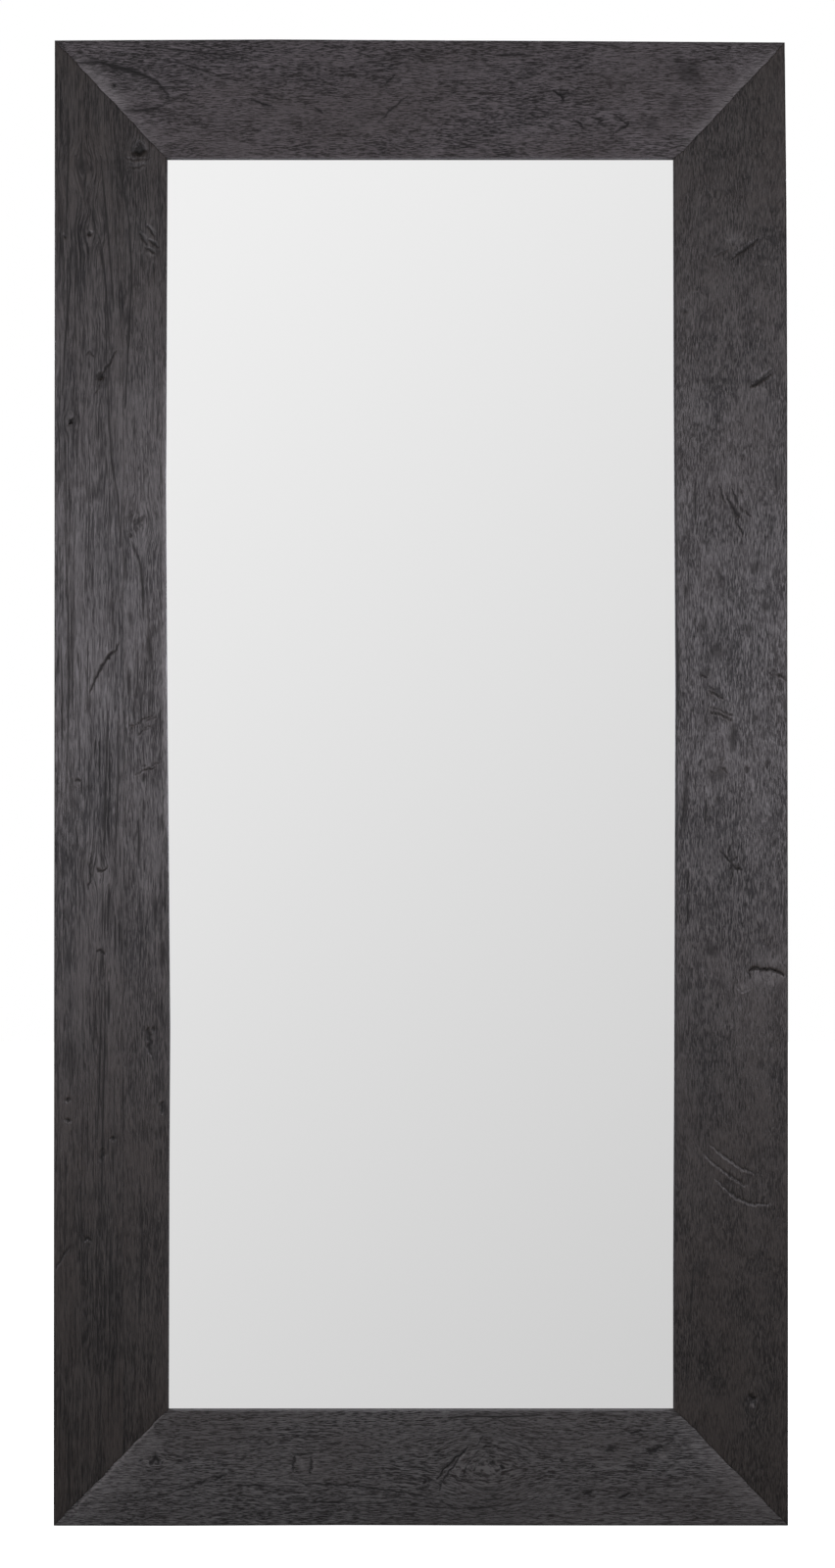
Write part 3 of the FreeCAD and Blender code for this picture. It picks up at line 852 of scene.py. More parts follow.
OUTER_STRIP_MARKS = (
    *marks_of(
        MarkKind.LINE,
        (2.6, 0.4, ((-433, 1740), (-433, 1681), (-435, 1617), (-437, 1581)), 0.85, 0.5),
        (2.6, 0.4, ((-430, 1570), (-431, 1524), (-435, 1480), (-438, 1433), (-440, 1388)), 0.85, 0.5),
        (2.2, 0.4, ((-439, 1580), (-440, 1500)), 0.6), (2.2, 0.4, ((-438, 1392), (-434, 1190)), 0.6),
        (2.4, 0.4, ((-437, 1230), (-433, 1130), (-432, 1030), (-435, 900)), 0.75),
        (2.0, 0.4, ((-430, 1160), (-428, 1090), (-427, 990)), 0.65),
        (2.2, 0.4, ((-442, 1100), (-440, 1010), (-441, 930)), 0.6),
        (2.8, 0.4, ((-398, 1592), (-393, 1575), (-390, 1554), (-387, 1524), (-384, 1480),
            (-382, 1443)), 0.85, 0.6),
        (4.0, 0.5, ((-394, 1572), (-390, 1545)), 0.8),
        (2.8, 0.4, ((-393, 1681), (-389, 1639), (-385, 1596), (-382, 1562), (-380, 1536),
            (-377, 1490)), 0.85, 0.5),
        (2.4, 0.4, ((-382, 1680), (-377, 1617), (-372, 1552), (-369, 1480)), 0.5, 0.6),
        (2.8, 0.4, ((-372, 1700), (-368, 1660), (-366, 1630)), 0.8),
        (2.6, 0.4, ((-382, 1440), (-384, 1392), (-380, 1311), (-372, 1263), (-368, 1202)), 0.75, 0.5),
        (2.8, 0.4, ((-387, 1318), (-384, 1284)), 0.7),
        (2.2, 0.3, ((-392, 230), (-393, 130), (-398, 70)), 0.6),
        (2.4, 0.4, ((-407, 1430), (-407, 1421)), 0.8), (2.4, 0.5, ((-416, 913), (-417, 898)), 0.8),
        (2.4, 0.4, ((-441, 1010), (-440, 985), (-441, 957)), 0.95),
        (2.0, 0.4, ((-421, 1073), (-420, 1052)), 0.75), (2.6, 0.4, ((-399, 966), (-401, 944)), 0.75),
        (2.2, 0.4, ((-369, 835), (-369, 808)), 0.8), (2.6, 0.4, ((-375, 750), (-375, 700)), 0.9),
        (2.4, 0.4, ((-370, 740), (-370, 714)), 0.9), (2.4, 0.4, ((-367, 730), (-367, 700)), 0.85),
        (2.4, 0.4, ((-387, 768), (-388, 718)), 0.8), (2.4, 0.4, ((-430, 654), (-430, 624)), 0.8),
        (2.8, 0.4, ((-437, 628), (-437, 607)), 0.8), (3.8, 0.6, ((-383, 668), (-383, 615)), 0.95),
        (3.0, 0.5, ((-391, 664), (-394, 564), (-397, 474)), 0.8, 0.5),
        (3.0, 0.5, ((-387, 655), (-388, 582), (-390, 511), (-391, 428), (-393, 355)), 0.85, 0.5),
        (2.8, 0.4, ((-399, 648), (-402, 580)), 0.7), (3.2, 0.4, ((-380, 370), (-382, 265)), 0.85),
        (2.8, 0.4, ((-388, 308), (-387, 240)), 0.7), (2.6, 0.4, ((-376, 560), (-377, 440)), 0.6),
        (2.8, 0.5, ((-384, 1000), (-386, 930), (-388, 860), (-389, 808)), 0.85, 0.5),
        (2.6, 0.5, ((-372, 985), (-371, 920), (-374, 860), (-375, 795)), 0.75, 0.5),
        (3.4, 0.5, ((-382, 895), (-384, 865), (-383, 839)), 0.95),
        (3.4, 0.5, ((-383, 788), (-384, 730)), 0.9), (2.4, 0.4, ((-390, 788), (-391, 718)), 0.8),
        (2.6, 0.4, ((-378, 468), (-378, 428)), 0.85), (3.0, 0.4, ((-434, 442), (-434, 428)), 0.6),
    ),
    *marks_of(
        MarkKind.PIT,
        (4.0, 1.2, ((-437, 1583),), 0.8), (5.3, 2.0, ((-407, 1588), (-405, 1584)), 1.0),
        (7.2, 3.4, ((-394, 1413), (-392, 1411)), 1.0, 0.2), (7.7, 3.6, ((-431, 1357), (-429, 1355)), 1.0),
        (5.3, 2.0, ((-433, 525), (-433, 521)), 0.95), (5.3, 2.0, ((-433, 500), (-433, 496)), 0.95),
        (5.8, 2.0, ((-378, 477), (-378, 473)), 0.95), (4.8, 1.7, ((-391, 463), (-391, 446)), 0.95),
    ),
    *marks_of(
        MarkKind.SWIRL,
        (16.0, ((-415, 1668),)), (12.0, ((-406, 1590),)), (12.0, ((-395, 800),)),
    ),
    *marks_of(
        MarkKind.STAIN,
        (12.0, ((-415, 1658), (-416, 1678)), 0.85), (14.0, ((-418, 1596), (-412, 1592)), 0.35),
        (18.0, ((-408, 1271), (-392, 1271)), 0.4), (10.0, ((-424, 1282), (-422, 1276)), 0.35),
        (5.0, ((-406, 1022), (-407, 994)), 0.5), (10.0, ((-432, 600), (-428, 545)), 0.5),
        (9.0, ((-391, 396), (-390, 348)), 0.5), (16.0, ((-376, 325), (-376, 270)), 0.4),
        (9.0, ((-421, 495), (-419, 468)), 0.45),
    ),
    *marks_of(
        MarkKind.CRACK,
        (2.8, 1.2, ((-393, 1411), (-384, 1425), (-374, 1443)), 0.9, 0.6),
        (2.9, 0.7, ((-393, 1410), (-399, 1390)), 0.5),
        (2.4, 0.6, ((-411, 1437), (-407, 1443), (-402, 1436)), 0.8, 0.4),
        (2.8, 1.4, ((-370, 1083), (-376, 1074), (-383, 1068), (-389, 1059), (-395, 1049), (-400, 1038),
            (-404, 1030), (-406, 1023)), 1.0, 0.6),
        (3.2, 1.4, ((-385, 1068), (-381, 1065)), 0.8),
        (2.4, 0.9, ((-424, 914), (-420, 917), (-417, 914)), 0.9, 0.4),
        (2.4, 1.2, ((-397, 705), (-393, 706), (-390, 704), (-387, 702)), 1.0, 0.5),
        (2.2, 0.6, ((-440, 752), (-435, 747), (-431, 737)), 0.7),
        (3.2, 1.1, ((-413, 350), (-409, 353), (-405, 350)), 0.95, 0.5),
        (2.6, 1.1, ((-404, 826), (-406, 812), (-406, 800), (-405, 792), (-409, 782)), 0.95, 0.5),
        (2.4, 1.1, ((-398, 808), (-395, 804), (-391, 803), (-388, 805), (-386, 808)), 1.0, 0.5),
        (2.8, 0.8, ((-430, 343), (-437, 334), (-448, 315)), 0.9),
    ),
    *marks_of(
        MarkKind.KNOT,
        (8.0, 0.5, ((-430, 1356),), 0.5),
    ),
    *marks_of(
        MarkKind.RUB,
        # A painted highlight on the lip below the cracks at the swirl, and a broad lighter patch.
        (7.0, ((-398, 796), (-388, 797)), 0.12), (60.0, ((-410, 1300), (-395, 1200)), 0.05, 0.4),
    ),
)

INNER_STRIP_MARKS = (
    *marks_of(
        MarkKind.KNOT,
        (9.0, 1.0, ((-346, 1690),), 0.8),
    ),
    *marks_of(
        MarkKind.PIT,
        (9.0, 4.2, ((-344, 1695), (-342, 1690), (-346, 1686), (-351, 1688)), 1.0, 0.3),
        (5.4, 1.8, ((-336, 610), (-333, 602), (-332, 594), (-334, 588), (-331, 580)), 0.95, 0.4),
        (4.0, 1.2, ((-330, 612), (-327, 606)), 0.7), (4.6, 1.2, ((-318, 520), (-319, 506)), 0.8),
        (4.8, 0.8, ((-358, 1214), (-354, 1218)), 0.7), (4.3, 0.8, ((-351, 1222), (-348, 1227)), 0.7),
        (4.3, 0.8, ((-352, 1231), (-350, 1236)), 0.65), (4.1, 0.8, ((-344, 1233), (-342, 1240)), 0.65),
        (4.1, 0.8, ((-357, 1240), (-356, 1246)), 0.6),
    ),
    *marks_of(
        MarkKind.GOUGE,
        (2.6, 0.6, ((-362, 1678), (-348, 1676), (-334, 1678)), 0.5),
        (2.4, 0.5, ((-360, 1668), (-346, 1668), (-338, 1671)), 0.45),
        (2.0, 0.7, ((-358, 981), (-348, 985), (-336, 992), (-326, 998)), 0.8),
        (2.0, 0.7, ((-346, 984), (-336, 989), (-325, 992)), 0.7),
        (2.0, 0.6, ((-348, 971), (-340, 976), (-333, 979)), 0.9),
        (1.8, 0.6, ((-341, 979), (-330, 982)), 0.6), (1.8, 0.6, ((-357, 976), (-351, 981)), 0.6),
        (2.0, 0.7, ((-351, 922), (-338, 928), (-326, 931)), 0.85),
        (1.8, 0.6, ((-344, 930), (-336, 934)), 0.65), (1.8, 0.6, ((-331, 933), (-320, 937)), 0.6),
    ),
    *marks_of(
        MarkKind.CRACK,
        (3.2, 1.0, ((-345, 1588), (-341, 1581), (-336, 1575)), 0.85, 0.5),
        (3.2, 1.0, ((-335, 1596), (-331, 1590), (-327, 1584)), 0.85, 0.5),
        (3.2, 1.0, ((-333, 1578), (-327, 1574), (-322, 1570)), 0.9, 0.5),
        (3.2, 1.0, ((-338, 1570), (-332, 1566), (-327, 1562)), 0.85, 0.5),
    ),
    *marks_of(
        MarkKind.RUB,
        # Painted highlights on the lips beside the cracks, a painted highlight along the inner arris, and a
        # broad lighter patch.
        (3.2, ((-341, 1588), (-336, 1580)), 0.22), (3.2, ((-331, 1597), (-325, 1588)), 0.22),
        (3.2, ((-336, 1564), (-326, 1558)), 0.2), (6.0, ((-313, 1420), (-313, 860)), 0.4, 0.4),
        (44.0, ((-332, 1490), (-332, 1210)), 0.07, 0.4),
    ),
    *marks_of(
        MarkKind.LINE,
        (3.0, 0.4, ((-343, 1562), (-342, 1546)), 0.8), (3.0, 0.4, ((-329, 1552), (-327, 1538)), 0.8),
        (3.0, 0.4, ((-364, 1640), (-358, 1600), (-356, 1560), (-355, 1526), (-357, 1488), (-360, 1430),
            (-363, 1372)), 0.85, 0.5),
        (2.6, 0.4, ((-328, 1500), (-327, 1420), (-330, 1340)), 0.5),
        (2.8, 0.4, ((-345, 430), (-342, 360), (-343, 300), (-346, 240)), 0.85),
        (3.0, 0.5, ((-354, 1208), (-345, 1184), (-341, 1150), (-340, 1110)), 0.8),
        (2.4, 0.4, ((-336, 1160), (-334, 1110), (-336, 1060)), 0.55),
        (3.0, 0.4, ((-346, 868), (-346, 806)), 0.85), (2.6, 0.4, ((-340, 892), (-339, 876)), 0.8),
        (2.6, 0.4, ((-339, 818), (-339, 802)), 0.8), (2.4, 0.4, ((-353, 806), (-352, 787)), 0.75),
        (2.4, 0.4, ((-345, 785), (-345, 744)), 0.75),
    ),
    *marks_of(
        MarkKind.STAIN,
        (16.0, ((-326, 490), (-320, 480)), 0.4), (7.0, ((-334, 1095), (-332, 1062)), 0.75),
        (7.0, ((-357, 1122), (-355, 1106)), 0.6), (6.0, ((-359, 1052), (-357, 1018)), 0.7),
        (6.0, ((-363, 1188), (-362, 1160)), 0.5), (5.0, ((-340, 924), (-339, 914)), 0.8),
        (5.0, ((-325, 774), (-326, 733)), 0.8), (7.0, ((-318, 720), (-318, 684)), 0.7),
        (7.0, ((-319, 872), (-318, 854)), 0.6),
    ),
    *marks_of(
        MarkKind.SWIRL,
        (14.0, ((-345, 1228),)),
    ),
)

RIGHT_STILE_MARKS = (
    *marks_of(
        MarkKind.CRACK,
        (3.6, 1.3, ((382, 1556), (397, 1567), (414, 1579)), 0.85, 0.6),
        (2.6, 0.6, ((359, 1558), (378, 1568)), 0.6),
        (3.8, 1.6, ((404, 1398), (413, 1403), (420, 1408), (428, 1413)), 1.0, 0.8),
        (2.4, 0.8, ((418, 1409), (425, 1414), (430, 1419)), 0.75, 0.5),
        (2.2, 0.7, ((427, 1412), (433, 1416)), 0.7, 0.4),
        (2.6, 0.8, ((366, 1278), (370, 1265), (374, 1255)), 0.85),
        (2.8, 0.9, ((374, 1267), (380, 1257), (384, 1250)), 0.95),
        (2.6, 0.9, ((381, 1274), (384, 1267), (388, 1259), (390, 1254)), 0.9),
        (2.4, 0.7, ((392, 1274), (395, 1267)), 0.75), (2.6, 0.8, ((392, 1252), (396, 1245)), 0.85),
        (2.6, 0.8, ((398, 1247), (405, 1239)), 0.9),
        (2.4, 0.8, ((386, 1235), (390, 1227), (396, 1218)), 0.9),
        (2.2, 0.6, ((359, 1267), (360, 1255)), 0.75), (2.2, 0.6, ((353, 1274), (355, 1261)), 0.65),
        (2.8, 1.2, ((380, 835), (378, 829), (377, 822)), 1.0),
        (2.4, 1.0, ((366, 828), (374, 821), (381, 814)), 0.9),
        (2.4, 1.0, ((381, 818), (382, 803), (381, 787)), 0.9),
        (2.2, 0.8, ((383, 816), (386, 820), (390, 820)), 0.8),
        (2.8, 1.2, ((382, 813), (387, 807), (394, 805)), 1.0), (2.2, 0.8, ((377, 806), (384, 810)), 0.8),
        (2.2, 0.8, ((390, 812), (388, 800)), 0.8),
        (2.4, 1.4, ((404, 672), (402, 679), (404, 683)), 0.9, 0.7),
        (2.9, 2.2, ((403, 682), (408, 685), (413, 684), (417, 682), (421, 684)), 1.0, 0.5),
        (2.7, 2.2, ((419, 684), (427, 683), (435, 681)), 1.0, 0.3),
        (2.9, 2.2, ((433, 681), (440, 680), (444, 676)), 1.0, 0.5),
    ),
    *marks_of(
        MarkKind.STAIN,
        (13.0, ((350, 1566), (374, 1566)), 0.45), (18.0, ((398, 1521), (404, 1515)), 0.5),
        (16.0, ((411, 1184), (410, 1170)), 0.45), (16.0, ((366, 1168), (372, 1150)), 0.4),
        (9.0, ((402, 1108), (402, 1094)), 0.55), (9.0, ((422, 1138), (423, 1120)), 0.5),
        (10.0, ((327, 1158), (325, 1138)), 0.5), (12.0, ((345, 1114), (346, 1100)), 0.4),
        (9.0, ((351, 1053), (353, 1043)), 0.5), (9.0, ((397, 1022), (397, 1012)), 0.55),
        (9.0, ((420, 977), (421, 966)), 0.45), (20.0, ((352, 925), (376, 921)), 0.45),
        (14.0, ((441, 1299), (437, 1271)), 0.4), (18.0, ((360, 1082), (366, 1066)), 0.55),
        (7.0, ((314, 1100), (314, 1000)), 0.75, 0.4), (9.0, ((384, 985), (382, 950)), 0.7),
        (7.0, ((327, 935), (325, 890), (322, 850)), 0.6), (12.0, ((397, 797), (401, 788)), 0.45),
        (10.0, ((432, 845), (433, 836)), 0.4), (8.0, ((344, 602), (344, 586)), 0.5),
        (70.0, ((335, 640), (340, 470)), 0.2, 0.5), (18.0, ((352, 717), (361, 700)), 0.55),
        (14.0, ((360, 768), (362, 758)), 0.4), (14.0, ((358, 668), (376, 662)), 0.5),
        (12.0, ((324, 672), (324, 650)), 0.6), (9.0, ((341, 672), (341, 658)), 0.55),
        (16.0, ((377, 556), (377, 546)), 0.45), (16.0, ((355, 530), (355, 520)), 0.45),
        (22.0, ((338, 322), (346, 310)), 0.5), (12.0, ((324, 372), (324, 358)), 0.45),
        (16.0, ((440, 464), (441, 450)), 0.4), (10.0, ((416, 572), (416, 560)), 0.45),
        (14.0, ((335, 546), (337, 536)), 0.4),
    ),
    *marks_of(
        MarkKind.RUB,
        # Painted highlights on the lips beside the cracks and the knot, and a broad lighter patch.
        (14.0, ((376, 1580), (396, 1580)), 0.2), (2.4, ((412, 1408), (421, 1415), (428, 1421)), 0.2),
        (2.4, ((371, 1268), (378, 1253)), 0.14), (2.4, ((378, 1268), (385, 1255)), 0.16),
        (2.4, ((389, 1268), (394, 1256)), 0.14), (50.0, ((415, 930), (415, 810)), 0.06, 0.5),
        (18.0, ((406, 675), (440, 670)), 0.22), (14.0, ((388, 664), (402, 659)), 0.2),
        (22.0, ((406, 700), (442, 696)), 0.12), (5.0, ((404, 150), (409, 147)), 0.35),
    ),
    *marks_of(
        MarkKind.PIT,
        (5.3, 1.0, ((324, 1492),), 0.8), (5.4, 1.6, ((382, 1252), (386, 1245), (390, 1240)), 0.95, 0.4),
        (5.3, 0.8, ((354, 1350),), 0.7), (5.3, 0.8, ((395, 1314),), 0.7),
        (6.0, 1.0, ((399, 932), (400, 925)), 0.75), (5.5, 1.0, ((425, 938), (424, 931)), 0.75),
        (5.5, 1.7, ((403, 160), (407, 156), (411, 157)), 0.9, 0.4),
    ),
    *marks_of(
        MarkKind.LINE,
        (2.2, 0.4, ((412, 1186), (413, 1170)), 0.8), (2.2, 0.4, ((407, 1182), (408, 1168)), 0.7),
        (3.2, 0.4, ((337, 1284), (337, 1230)), 0.7), (3.2, 0.4, ((443, 1309), (443, 1281)), 0.7),
        (2.8, 0.4, ((436, 1290), (437, 1271)), 0.7),
        # The long line without depth along the inner edge is painted shade on the arris.
        (3.0, 0.0, ((313, 1660), (313, 1300), (313, 700), (313, 160)), 0.6, 0.4),
        (3.6, 0.4, ((350, 892), (349, 861)), 0.95), (3.2, 0.4, ((324, 902), (321, 861)), 0.9),
        (2.2, 0.4, ((413, 741), (416, 732)), 0.85), (2.2, 0.4, ((393, 742), (396, 734)), 0.85),
        (3.2, 0.3, ((328, 804), (327, 777)), 0.9), (3.4, 0.3, ((327, 771), (328, 738)), 0.95),
        (3.4, 0.4, ((445, 765), (445, 730)), 0.7), (3.4, 0.3, ((378, 604), (380, 584)), 0.6),
        (2.6, 0.4, ((399, 372), (399, 356)), 0.8), (3.0, 0.4, ((335, 327), (334, 305), (329, 243)), 0.75),
    ),
    *marks_of(
        MarkKind.GOUGE,
        (2.0, 0.8, ((341, 1046), (347, 1043), (352, 1041)), 0.7),
        (2.2, 0.9, ((352, 1026), (360, 1021), (368, 1017), (373, 1017)), 0.95),
        (2.0, 0.8, ((355, 1029), (362, 1024)), 0.7),
        (2.2, 0.9, ((353, 1000), (366, 996), (383, 989)), 0.95),
        (2.0, 0.8, ((354, 1005), (370, 1000), (384, 994)), 0.85),
        (2.4, 0.9, ((434, 1047), (441, 1043), (450, 1038)), 0.95),
        (1.8, 0.6, ((428, 1054), (436, 1048)), 0.6), (1.8, 0.6, ((427, 1048), (433, 1043)), 0.5),
        (2.2, 0.9, ((364, 930), (372, 929), (378, 922)), 0.85), (2.0, 0.7, ((354, 927), (363, 922)), 0.6),
        (2.4, 0.7, ((366, 938), (373, 942)), 0.6),
        (2.2, 0.6, ((388, 672), (387, 662), (393, 656), (403, 659)), 0.5),
        (2.5, 0.7, ((356, 468), (367, 458), (381, 447), (396, 438), (409, 433)), 0.8),
        (2.5, 0.7, ((349, 457), (360, 444), (373, 435), (386, 425), (398, 418)), 0.8),
        (2.5, 0.7, ((362, 427), (374, 413), (388, 403), (400, 397), (411, 395), (430, 396)), 0.9),
    ),
    *marks_of(
        MarkKind.KNOT,
        (10.0, 0.8, ((406, 156),), 0.7),
    ),
)


class Pick(Enum):
    """What is selected in edit mode."""

    VERT = "verts"
    EDGE = "edges"
    FACE = "faces"


def open_piece(piece: Piece) -> None:
    """Makes one piece active, alone selected and open in edit mode, with nothing in it selected.

    Args:
        piece: the piece.
    """
    bpy.ops.object.select_all(action="DESELECT")
    bpy.context.view_layer.objects.active = piece
    piece.select_set(True)
    bpy.ops.object.mode_set(mode="EDIT")
    bpy.ops.mesh.select_all(action="DESELECT")


def close_piece() -> None:
    """Goes back to object mode."""
    bpy.ops.object.mode_set(mode="OBJECT")


def pick(piece: Piece, kind: Pick, test: Callable[[Any], bool]) -> None:
    """Selects the vertices, edges or faces of an open piece that pass a test.

    Args:
        piece: the piece, open in edit mode.
        kind: what is selected.
        test: tells whether one of them is wanted.
    """
    bpy.ops.mesh.select_mode(type=kind.name)
    bpy.ops.mesh.select_all(action="DESELECT")
    mesh = bmesh.from_edit_mesh(piece.data)
    for element in getattr(mesh, kind.value):
        if test(element):
            element.select_set(True)
    mesh.select_flush_mode()
    bmesh.update_edit_mesh(piece.data)


def places_of(items: Any, field: str) -> np.ndarray:
    """Reads the places of a mesh's vertices or faces.

    Args:
        items: the vertices or the faces.
        field: the name of what is read, such as co or center.

    Returns:
        One row of three numbers for each.
    """
    places = np.empty(len(items) * 3)
    items.foreach_get(field, places)
    return places.reshape(-1, 3)


def hump(distance: np.ndarray, width: float | np.ndarray) -> np.ndarray:
    """Gives a smooth hump: 1 at no distance, and little beyond its width."""
    return np.exp(-((distance / width) ** 2))


@dataclass
class FaceWork:
    """What the marks do to a board's vertices, whose places across and heights are in millimetres."""

    x: np.ndarray
    z: np.ndarray
    upright: bool
    shake: float = 0.5
    jitter: float = 0.4
    # How long the slow wave in a mark's outline is, how far that wave drifts, and how long the quick one is.
    shake_sizes_x: tuple[float, float, float] = (3.1, 7.0, 1.3)
    shake_sizes_z: tuple[float, float, float] = (2.9, 9.0, 1.2)
    least_core: float = 0.4
    lip_height: float = 0.5
    # A gouge gets painted shade on its upper side and a painted highlight on its lower lip, as light from
    # above would give it.
    lip_painted_highlight: float = 0.2
    gouge_shade: float = 0.6
    # The waves in a knot's outline: how strong they are, and how many lie round it.
    knot_waves: tuple[tuple[float, int], tuple[float, int]] = ((0.16, 3), (0.1, 7))
    ring_rate: float = 9.0
    ring_depth: float = 0.5
    ring_tone: float = 0.3
    heart_depth_share: float = 0.35
    heart_tone_share: float = 0.45
    mitre_depth: float = 0.4
    mitre_width: float = 0.5
    mitre_tone: float = 0.45
    push: float = 0.8
    push_across: float = 1.3
    push_along: float = 1.7

    def __post_init__(self) -> None:
        """Starts with an unmarked face."""
        count = len(self.x)
        self.sunk, self.stain_and_hollow_shade, self.wear_and_sheen_tone = np.zeros(count), np.zeros(count), np.zeros(count)
        self.bend = np.zeros((count, 3))
        self.shaky_x = self.shaken(self.x, self.z, self.shake_sizes_x)
        self.shaky_z = self.shaken(self.z, self.x, self.shake_sizes_z)

    def shaken(self, place: np.ndarray, other: np.ndarray, sizes: tuple[float, float, float]) -> np.ndarray:
        """Lets places on one axis wander along the other one, so that a mark's outline isn't ruled."""
        slow, drift, quick = sizes
        return place + self.shake * np.sin(other / slow + place / drift) + self.jitter * np.sin(other / quick)

    def darken(self, tone: np.ndarray) -> None:
        """Makes the face at least as dark as a tone: the wood's own dark, and painted shade in hollows."""
        self.stain_and_hollow_shade = np.maximum(self.stain_and_hollow_shade, tone)

    def rub(self, tone: np.ndarray) -> None:
        """Makes the face at least as light as a tone: rubbed wear, and painted sheen and painted highlights.
        """
        self.wear_and_sheen_tone = np.maximum(self.wear_and_sheen_tone, tone)

    def cut(self, mark: Mark) -> None:
        """Works one mark into the face.

        Args:
            mark: the mark.
        """
        steady = mark.kind in STEADY_KINDS
        gap, above, full = mark.reach(self.x, self.z) if steady else mark.reach(self.shaky_x, self.shaky_z)
        half = mark.width / 2 * full
        core = hump(gap, half) * (self.least_core + (1 - self.least_core) * full)
        if mark.kind is MarkKind.GOUGE:
            lip = hump(gap - mark.width, half) * (above < 0)
            self.sunk += mark.depth * (core - self.lip_height * lip)
            # Painted shade: the gouge is darker towards its upper side.
            self.darken(mark.tone * core * np.clip(self.gouge_shade + above / mark.width, 0, 1))
            # Painted highlight on the gouge's lower lip.
            self.rub(self.lip_painted_highlight * mark.tone * lip)
        elif mark.kind is MarkKind.KNOT:
            self.cut_knot(mark, gap)
            self.part_grain(mark)
        elif mark.kind is MarkKind.SWIRL:
            self.part_grain(mark)
        elif mark.kind is MarkKind.RUB:
            # Lightens the face: real wear, and painted sheen and painted highlights.
            self.rub(mark.tone * core)
        else:
            # Stains and growth lines darken as the wood does; cracks, pits and dents also get painted shade in
            # their hollows.
            self.sunk += mark.depth * core
            self.darken(mark.tone * core)

    def cut_knot(self, mark: Mark, gap: np.ndarray) -> None:
        """Sinks a knot's heart and its uneven rings.

        Args:
            mark: the knot.
            gap: the vertices' distances from its middle, in millimetres.
        """
        knot_x, knot_z = mark.path[0]
        turn = np.arctan2(self.z - knot_z, self.x - knot_x)
        (few, few_count), (many, many_count) = self.knot_waves
        uneven = 1 + few * np.sin(few_count * turn + knot_x) + many * np.sin(many_count * turn + knot_z)
        rings = 0.5 + 0.5 * np.cos(gap * uneven / mark.width * self.ring_rate)
        spread = hump(gap, mark.width)
        heart = hump(gap, self.heart_depth_share * mark.width)
        self.sunk += mark.depth * (self.ring_depth * rings * spread + heart)
        dark_heart = hump(gap, self.heart_tone_share * mark.width)
        self.darken(mark.tone * np.maximum(dark_heart, self.ring_tone * rings * spread))

    def part_grain(self, mark: Mark) -> None:
        """Parts the grain round a knot or a swirl.

        Args:
            mark: the knot or swirl.
        """
        knot_x, knot_z = mark.path[0]
        off, run = (self.x - knot_x, self.z - knot_z) if self.upright else (self.z - knot_z, self.x - knot_x)
        push = hump(off, self.push_across * mark.width) * hump(run, self.push_along * mark.width)
        self.bend[:, 0 if self.upright else 2] -= self.push * off * push * MM

    def open_joint(self, gap: np.ndarray) -> None:
        """Lets a mitre show as a fine dark line.

        Args:
            gap: the vertices' distances from the mitre, in millimetres.
        """
        line = hump(gap, self.mitre_width)
        self.sunk += self.mitre_depth * line
        self.darken(self.mitre_tone * line)


